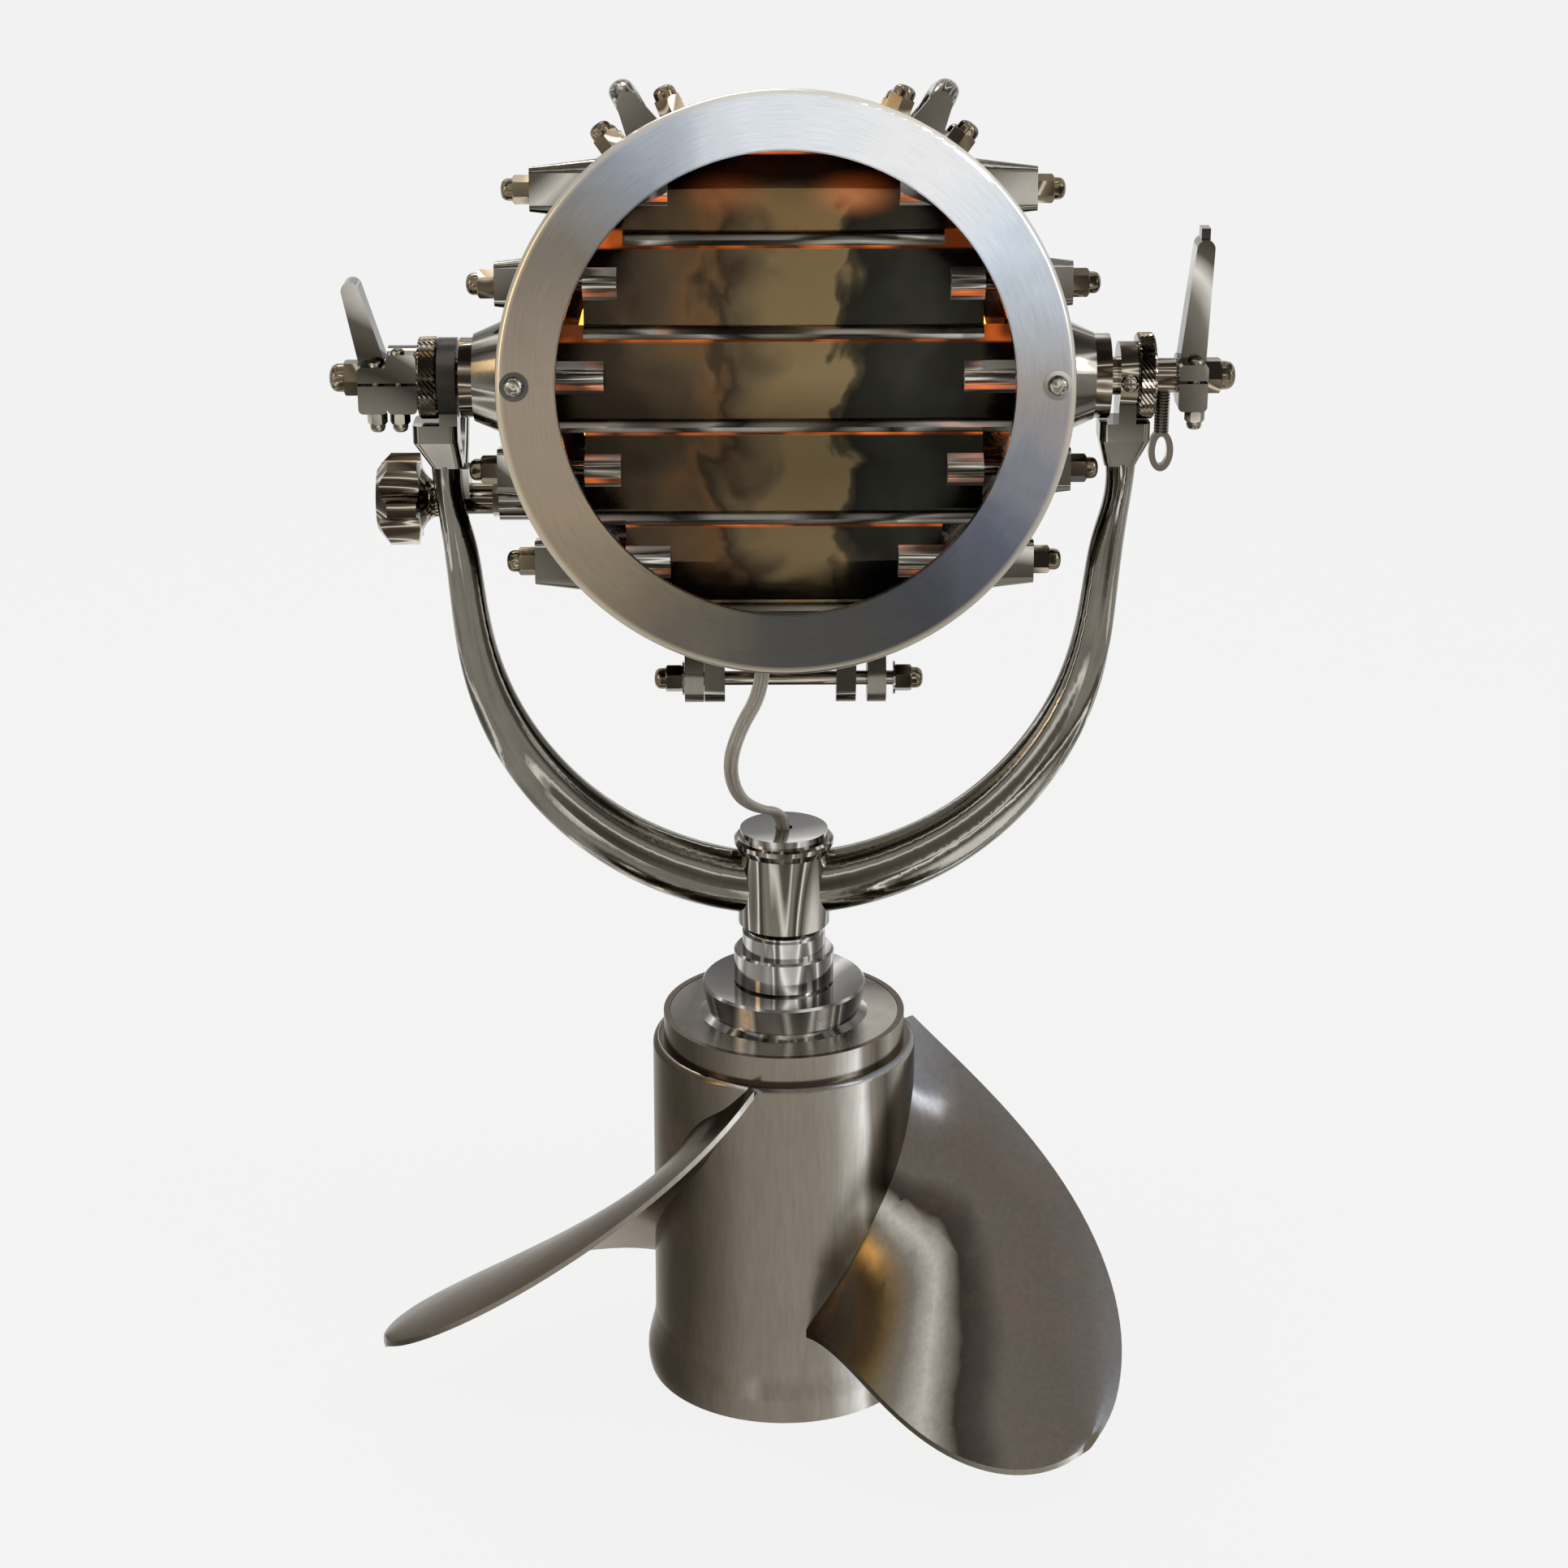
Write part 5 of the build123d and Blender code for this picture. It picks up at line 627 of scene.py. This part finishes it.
def ring_tones(tree, turned, parts, rim_radius, front):
    """Painted reflection tone by angle, with a painted rim highlight and painted shade on the side wall;
    returns it with the angle and the radius.
    """
    angle = add_node(tree, "Math", {"operation": "ARCTAN2"}, {0: parts.outputs["Z"], 1: parts.outputs["X"]})
    ring = add_node(tree, "CombineXYZ", links={"X": parts.outputs["X"], "Y": parts.outputs["Z"]})
    radius = add_node(tree, "VectorMath", {"operation": "LENGTH"}, {0: ring})
    sway = add_node(tree, "TexNoise", {
        "Scale": scale_of(WEDGE_SWAY_MM), "Detail": 3.0, "Distortion": 0.8}, {"Vector": turned})
    wedge = add_node(tree, "MapRange", {"From Min": -math.pi, "From Max": math.pi}, {"Value": angle})
    swayed = add_node(tree, "Math", {"operation": "MULTIPLY_ADD", 1: WEDGE_SWAY}, {0: sway, 2: wedge})
    shifted = add_node(tree, "Math", {"operation": "SUBTRACT", 1: WEDGE_SWAY / 2}, {0: swayed})
    tone = add_node(tree, "ValToRGB", links={"Fac": shifted}, stops=[
        (0.0, "a19382"), (0.08, "a0907a"), (0.17, "7d7261"), (0.235, "55534f"), (0.28, "4f4e4d"),
        (0.33, "4b4c50"), (0.41, "666a76"), (0.46, "8e8f96"), (0.5, "aaa29b"), (0.55, "c3cad3"),
        (0.6, "e6f0fa"), (0.67, "ffffff"), (0.76, "eef4fa"), (0.81, "c9d0d8"), (0.86, "9ea4ad"),
        (0.92, "857c70"), (1.0, "a19382")])
    # Painted highlight along the rounded rim.
    edge = add_node(tree, "MapRange", {
        "From Min": rim_radius - RIM_START, "From Max": rim_radius - RIM_FULL, "To Max": 0.55}, {
        "Value": radius})
    edged = add_node(tree, "Mix", {"data_type": "RGBA", 7: linear("d9cdb6")}, {0: edge, 6: tone})
    # Painted shade on the side wall.
    wall = add_node(tree, "MapRange", {"From Min": front + WALL_START, "From Max": front + WALL_FULL}, {
        "Value": parts.outputs["Y"]})
    walled = add_node(tree, "Mix", {"data_type": "RGBA", 7: linear("6f695f")}, {0: wall, 6: edged})
    return walled, angle, radius


print("bright rim starts in mm from the edge:", 1000 * RIM_START)

# %% [markdown]
# Brush marks are rings of noise, so the noise reads the radius and the angle in place of X and Y.
# Real ones are finer than these, which are half a millimetre apart and some eighteen millimetres long.
# The ring also has a few scratches at its lower left, which cross the brush marks at a slant.

# %% Brush marks and scratches
BRUSH_MM = 0.5
MARKS_PER_RADIAN = 6.0
SCRATCH_SLANT = math.radians(-52)
SCRATCH_STRETCH = (35, 1, 900)
SCRATCHED_PLACE = (-0.088, -0.005, -0.052)


def brush_marks(tree, angle, radius):
    """Noise in thin rings round the head's axis."""
    across = add_node(tree, "Math", {"operation": "MULTIPLY", 1: scale_of(BRUSH_MM)}, {0: radius})
    along = add_node(tree, "Math", {"operation": "MULTIPLY", 1: MARKS_PER_RADIAN}, {0: angle})
    ring = add_node(tree, "CombineXYZ", links={"X": across, "Y": along})
    return add_node(tree, "TexNoise", {"Scale": 1.0, "Detail": 3.0, "Roughness": 0.7}, {"Vector": ring})


def scratches(tree, turned):
    """Long thin scratches everywhere, and a share that fades out round one place on the ring."""
    slant = add_node(tree, "Mapping", {"Rotation": (0, SCRATCH_SLANT, 0), "Scale": SCRATCH_STRETCH}, {
        "Vector": turned})
    hairs = add_node(tree, "TexNoise", {"Scale": 1.0, "Detail": 1.0}, {"Vector": slant})
    thin = add_node(tree, "MapRange", {"From Min": 0.6, "From Max": 0.64}, {"Value": hairs})
    away = add_node(tree, "VectorMath", {"operation": "DISTANCE", 1: SCRATCHED_PLACE}, {0: turned})
    near = add_node(tree, "MapRange", {
        "From Min": 0.012, "From Max": 0.04, "To Min": 0.6, "To Max": 0.0}, {"Value": away})
    return thin, near


print("brush marks per metre:", scale_of(BRUSH_MM))

# %% [markdown]
# The bezel's radius and the place of its front come from the CAD node, turned upright.
# Tone, brush marks and scratches are then joined in one finish.

# %% Brushed bezel
def brushed_ring(name, rim_radius, front):
    """Metal brushed in circles round the head's axis, with a painted bright rim and painted shade on the side
    wall.
    """
    material, tree, shader = new_finish(name)
    place = add_node(tree, "TexCoord")
    turned, parts = head_place(tree, place.outputs["Object"])
    tone, angle, radius = ring_tones(tree, turned, parts, rim_radius, front)
    brush = brush_marks(tree, angle, radius)
    shade = add_node(tree, "MapRange", {
        "From Min": 0.3, "From Max": 0.7, "To Min": 0.88, "To Max": 1.07}, {"Value": brush})
    thin, near = scratches(tree, turned)
    scratched = add_node(tree, "Math", {"operation": "MULTIPLY_ADD"}, {0: thin, 1: near, 2: shade})
    colour = add_node(tree, "VectorMath", {"operation": "SCALE"}, {0: tone, "Scale": scratched})
    gloss = add_node(tree, "MapRange", {"To Min": 0.18, "To Max": 0.38}, {"Value": brush})
    relief = add_node(tree, "Bump", {"Strength": 0.1, "Distance": 0.0002}, {"Height": brush})
    set_up(tree, shader, {"Metallic": 1.0}, {"Base Color": colour, "Roughness": gloss, "Normal": relief})
    return material


bezel_low, bezel_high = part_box("bezel")
bezel_radius = (bezel_high[0] - bezel_low[0]) / 2
untilt = Matrix.Rotation(HEAD_TILT, 3, "X")
bezel_front = min((untilt @ (vert.co - Vector(HEAD_CENTRE))).y for vert in nodes["bezel"].data.vertices)
print("bezel radius and front in metres:", round(bezel_radius, 4), round(bezel_front, 4))
finishes["brushed_bezel"] = brushed_ring("circle_brushed_aluminium", bezel_radius, bezel_front)

# %% [markdown]
# A few pieces are no metals: moulded rubber, pressed wool felt under the foot, and a glazed ceramic
# bulb socket. Rubber is nearly black and a little dull, felt is matt with visible fibres,
# and glaze is smooth and catches the light. A grain of two close colours keeps each from being flat.

# %% Rubber, felt and ceramic
def plain_finish(name, low, high, roughness, grain_mm, bump):
    """Non-metal with a fine grain of two close colours."""
    material, tree, shader = new_finish(name)
    place = add_node(tree, "TexCoord")
    grain = add_node(tree, "TexNoise", {"Scale": scale_of(grain_mm), "Detail": 4.0}, {
        "Vector": place.outputs["Object"]})
    tint = add_node(tree, "ValToRGB", links={"Fac": grain}, stops=[(0.3, low), (0.7, high)])
    relief = add_node(tree, "Bump", {"Strength": bump, "Distance": 0.0004}, {"Height": grain})
    set_up(tree, shader, {"Roughness": roughness}, {"Base Color": tint, "Normal": relief})
    return material


finishes["rubber"] = plain_finish("black_rubber", "0c0c0c", "1a1919", roughness=0.6, grain_mm=1.2, bump=0.2)
finishes["felt"] = plain_finish("dark_felt", "121512", "2a2f29", roughness=0.95, grain_mm=0.8, bump=0.6)
finishes["ceramic"] = plain_finish(
    "glazed_ceramic", "cfc9bd", "e4dfd5", roughness=0.25, grain_mm=6.0, bump=0.05)

# %% [markdown]
# The window is flat float glass, which from the front only greys what is behind it a little.
# It is made as a thin clear film: a dark smooth surface with an alpha of one twentieth.
# A mirror share this faint would need very many samples and would show as white dots over the vanes,
# so the film has none, and light passes straight through.

# %% Window glass
SMEAR_MM = 40

finishes["clear_glass"], tree, shader = new_finish("clear_float_glass")
film = add_node(tree, "TexCoord")
smears = add_node(tree, "TexNoise", {"Scale": scale_of(SMEAR_MM), "Detail": 3.0}, {
    "Vector": film.outputs["Object"]})
gloss = add_node(tree, "MapRange", {"To Min": 0.02, "To Max": 0.12}, {"Value": smears})
set_up(tree, shader, {"Base Color": linear("1a1c1b"), "Alpha": 0.05, "Specular IOR Level": 0.0}, {
    "Roughness": gloss})

# %% [markdown]
# The bulb is a pearl glass one with a warm light inside.
# The frosting hides the filament, so the whole glass glows, and its light leaks round the vanes.

# %% Bulb
finishes["bulb_glass"], tree, shader = new_finish("pearl_bulb_glass")
set_up(tree, shader, {
    "Base Color": linear("f3dcb4"), "Roughness": 0.3, "Emission Color": linear("ff8a2a"),
    "Emission Strength": 16.0})

# %% [markdown]
# The lead's sheath is clear flexible vinyl, a little milky with age.
# Rather more than half of its light goes through, so the tinned wires inside show as grey lines.

# %% Vinyl of the lead
finishes["clear_lead"], tree, shader = new_finish("clear_lead_sheath")
set_up(tree, shader, {
    "Base Color": linear("d8d2c6"), "Roughness": 0.18, "IOR": 1.45, "Transmission Weight": 0.6})
print("finishes:", sorted(finishes))

# %% [markdown]
# The record says which material slot each CAD node has.
# Every node's own mesh stays as it is, and only its material is changed.
# The two spun pieces at the back share a slot with the castings, and get the spun finish by name.

# %% Put the finishes on the CAD nodes
SPUN_PIECES = ("rear_cover", "vent_cap")

slot_of = {entry["node"]: entry["material_slot"] for entry in frame["record"]["subparts"]}
for name, node in nodes.items():
    node.data.materials.clear()
    node.data.materials.append(spun_cover if name in SPUN_PIECES else finishes[slot_of[name]])
print("nodes dressed:", len(nodes))

# %% [markdown]
# The lamp's lead is a clear flat twin flex, which leaves a gland under the drum and sags into the hub.
# It follows the route of the CAD tube, as one smooth NURBS curve, and that curve is turned
# into a line of points, because the tubes are built round points and the length is measured on them.

# %% Lead route
lead_points = [
    (-0.009, -0.0481, 0.3417), (-0.0094, -0.050, 0.3305), (-0.0185, -0.0485, 0.314),
    (-0.023, -0.042, 0.296), (-0.0195, -0.030, 0.278), (-0.011, -0.0165, 0.2675),
    (-0.0034, -0.005, 0.2625), (0.0, 0.0, 0.2553), (0.0, 0.0, 0.246),
]


def route_curve(name, points):
    """Open NURBS curve with the route's points as its control points."""
    data = bpy.data.curves.new(name, "CURVE")
    data.dimensions = "3D"
    spline = data.splines.new("NURBS")
    spline.points.add(len(points) - 1)
    for point, place in zip(spline.points, points):
        point.co = (*place, 1.0)
    spline.order_u = 3
    spline.use_endpoint_u = True
    spline.resolution_u = 8
    return bpy.data.objects.new(name, data)


route = route_curve("lead_route", lead_points)
bpy.context.scene.collection.objects.link(route)
bpy.context.view_layer.update()
route_line = bpy.data.meshes.new_from_object(route)
lead_line = [tuple(v.co) for v in route_line.vertices]
bpy.data.objects.remove(route)
lead_length = sum((Vector(b) - Vector(a)).length for a, b in zip(lead_line, lead_line[1:]))
print("lead length in metres:", round(lead_length, 4), "points:", len(lead_line))

# %% [markdown]
# The flex is two round sheaths joined along their length, each with a wire inside.
# Circles are set square to the line and bridged, one row for each sheath. Every circle keeps
# the sideways direction of the one before it, so the pair doesn't twist.
# The wires are the same shape with a smaller radius, inside the sheaths.

# %% Lead sheath and wires
CORE_OFFSET = 0.0014
SHEATH_RADIUS = 0.0016
WIRE_RADIUS = 0.0008


def twin_tube(name, line, radius, sides, finish):
    """Two round tubes side by side along a line of points, joined in one mesh."""
    points = [Vector(p) for p in line]
    mesh = bpy.data.meshes.new(name)
    work = bmesh.new()
    for side in (-1, 1):
        across = Vector((1, 0, 0))
        rings = []
        for i, point in enumerate(points):
            ahead = (points[min(i + 1, len(points) - 1)] - points[max(i - 1, 0)]).normalized()
            across = (across - across.dot(ahead) * ahead).normalized()
            turn = Matrix((across, ahead.cross(across), ahead)).transposed().to_4x4()
            place = Matrix.Translation(point + across * side * CORE_OFFSET) @ turn
            ring = bmesh.ops.create_circle(work, segments=sides, radius=radius, matrix=place)
            rings.append(list({edge for vert in ring["verts"] for edge in vert.link_edges}))
        for ring, following in zip(rings, rings[1:]):
            bmesh.ops.bridge_loops(work, edges=ring + following)
        for end in (rings[0], rings[-1]):
            bmesh.ops.edgeloop_fill(work, edges=end)
    bmesh.ops.recalc_face_normals(work, faces=work.faces)
    for face in work.faces:
        face.smooth = True
    work.to_mesh(mesh)
    work.free()
    mesh.materials.append(finish)
    tube = bpy.data.objects.new(name, mesh)
    bpy.context.scene.collection.objects.link(tube)
    print(name, "faces:", len(mesh.polygons))
    return tube


lead_sheath = twin_tube(
    "lamp_lead_sheath", lead_line, SHEATH_RADIUS, sides=12, finish=finishes["clear_lead"])
lead_wires = twin_tube(
    "lamp_lead_wires", lead_line, WIRE_RADIUS, sides=8, finish=finishes["steel_fixings"])
for tube in (lead_sheath, lead_wires):
    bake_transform(tube)
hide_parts("lamp_lead")

# %% [markdown]
# The two rings beside the yoke are diamond knurled, so that wet fingers can grip them.
# On the lathe a knurling wheel presses crossed ridges into the rim.
# Here a profile is spun round the trunnion axis and every second point of its rim is pressed in,
# like a chequer board, which leaves one small pyramid for each diamond.

# %% Knurled rings
TRUNNION_HEIGHT = HEAD_CENTRE[2]
RING_BORE = 0.00775
RING_CHAMFER = 0.0008
KNURL_ROWS = 6
KNURL_DEPTH = 0.00045


def from_axis(vert):
    """Arm from the trunnion axis to a vertex, square to the axis."""
    return Vector((0, vert.co.y, vert.co.z - TRUNNION_HEIGHT))


def knurled_ring(name, node, body, around):
    """Ring with a diamond knurl on its rim, in the place of a plain CAD ring."""
    low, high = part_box(node)
    start, end = low[0], high[0]
    outer = (high[2] - low[2]) / 2
    on_rim = outer - RING_CHAMFER / 2
    row_width = (end - start - 2 * RING_CHAMFER) / KNURL_ROWS
    rim = [start + RING_CHAMFER + row_width * i for i in range(KNURL_ROWS + 1)]
    outline = [(start, RING_BORE), (start, outer - RING_CHAMFER)] + [(x, outer) for x in rim]
    outline += [(end, outer - RING_CHAMFER), (end, RING_BORE)]
    work = bmesh.new()
    points = [work.verts.new((x, 0, TRUNNION_HEIGHT + r)) for x, r in outline]
    edges = [work.edges.new(pair) for pair in zip(points, points[1:] + points[:1])]
    bmesh.ops.spin(work, geom=points + edges, cent=(0, 0, TRUNNION_HEIGHT), axis=(1, 0, 0),
                   angle=math.tau, steps=around, use_merge=True)
    bmesh.ops.remove_doubles(work, verts=work.verts, dist=1e-6)
    for vert in work.verts:
        arm = from_axis(vert)
        step = round(math.atan2(arm.y, arm.z) / math.tau * around)
        row = round((vert.co.x - rim[0]) / row_width)
        if arm.length >= on_rim and (step + row) % 2:
            vert.co -= arm.normalized() * KNURL_DEPTH
    rim_faces = [face for face in work.faces if all(from_axis(vert).length > on_rim for vert in face.verts)]
    bmesh.ops.poke(work, faces=rim_faces)
    bmesh.ops.recalc_face_normals(work, faces=work.faces)
    mesh = bpy.data.meshes.new(name)
    work.to_mesh(mesh)
    work.free()
    ring = bpy.data.objects.new(name, mesh)
    bpy.context.scene.collection.objects.link(ring)
    mesh.materials.append(finishes["nickel_plate"])
    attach(ring, body)
    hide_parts(node)
    print(name, "faces:", len(mesh.polygons), "outer radius:", round(outer, 4))


knurled_ring("left_diamond_ring", "left_knurled_ring", "left_ring", around=84)
knurled_ring("right_diamond_ring", "right_knurled_ring", "right_ring", around=88)

# %% [markdown]
# The lock screw has a coarse thread between the trunnion and its eye.
# A thread this small is cheaper as relief in the finish than as mesh: a wave along the screw
# with a pitch of 1.25 millimetres, which ends where the eye begins.

# %% Thread of the lock screw
THREAD_PITCH = 0.00125
EYE_HEIGHT = 0.016

thread_steel, tree, shader = new_finish("threaded_steel")
# Painted reflection tones, as on the other steels.
tone, place = painted_room_reflections(tree, faces=2.0, place_mm=60, seed=2.9, stops=[
    (0.32, "3c3630"), (0.46, "5f574d"), (0.58, "8f877b"), (0.7, "d2ccc1")])
parts = add_node(tree, "SeparateXYZ", links={0: place.outputs["Object"]})
eye_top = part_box("lock_screw")[0][2] + EYE_HEIGHT
shank = add_node(tree, "Math", {"operation": "GREATER_THAN", 1: eye_top}, {0: parts.outputs["Z"]})
turns = add_node(tree, "Math", {"operation": "MULTIPLY", 1: math.tau / THREAD_PITCH}, {0: parts.outputs["Z"]})
wave = add_node(tree, "Math", {"operation": "SINE"}, {0: turns})
crest = add_node(tree, "Math", {"operation": "MULTIPLY"}, {0: wave, 1: shank})
relief = add_node(tree, "Bump", {"Strength": 1.0, "Distance": 0.0004}, {"Height": crest})
set_up(tree, shader, {"Metallic": 1.0, "Roughness": 0.2}, {"Base Color": tone, "Normal": relief})
nodes["lock_screw"].data.materials[0] = thread_steel
print("thread starts in metres above the floor:", round(eye_top, 4))
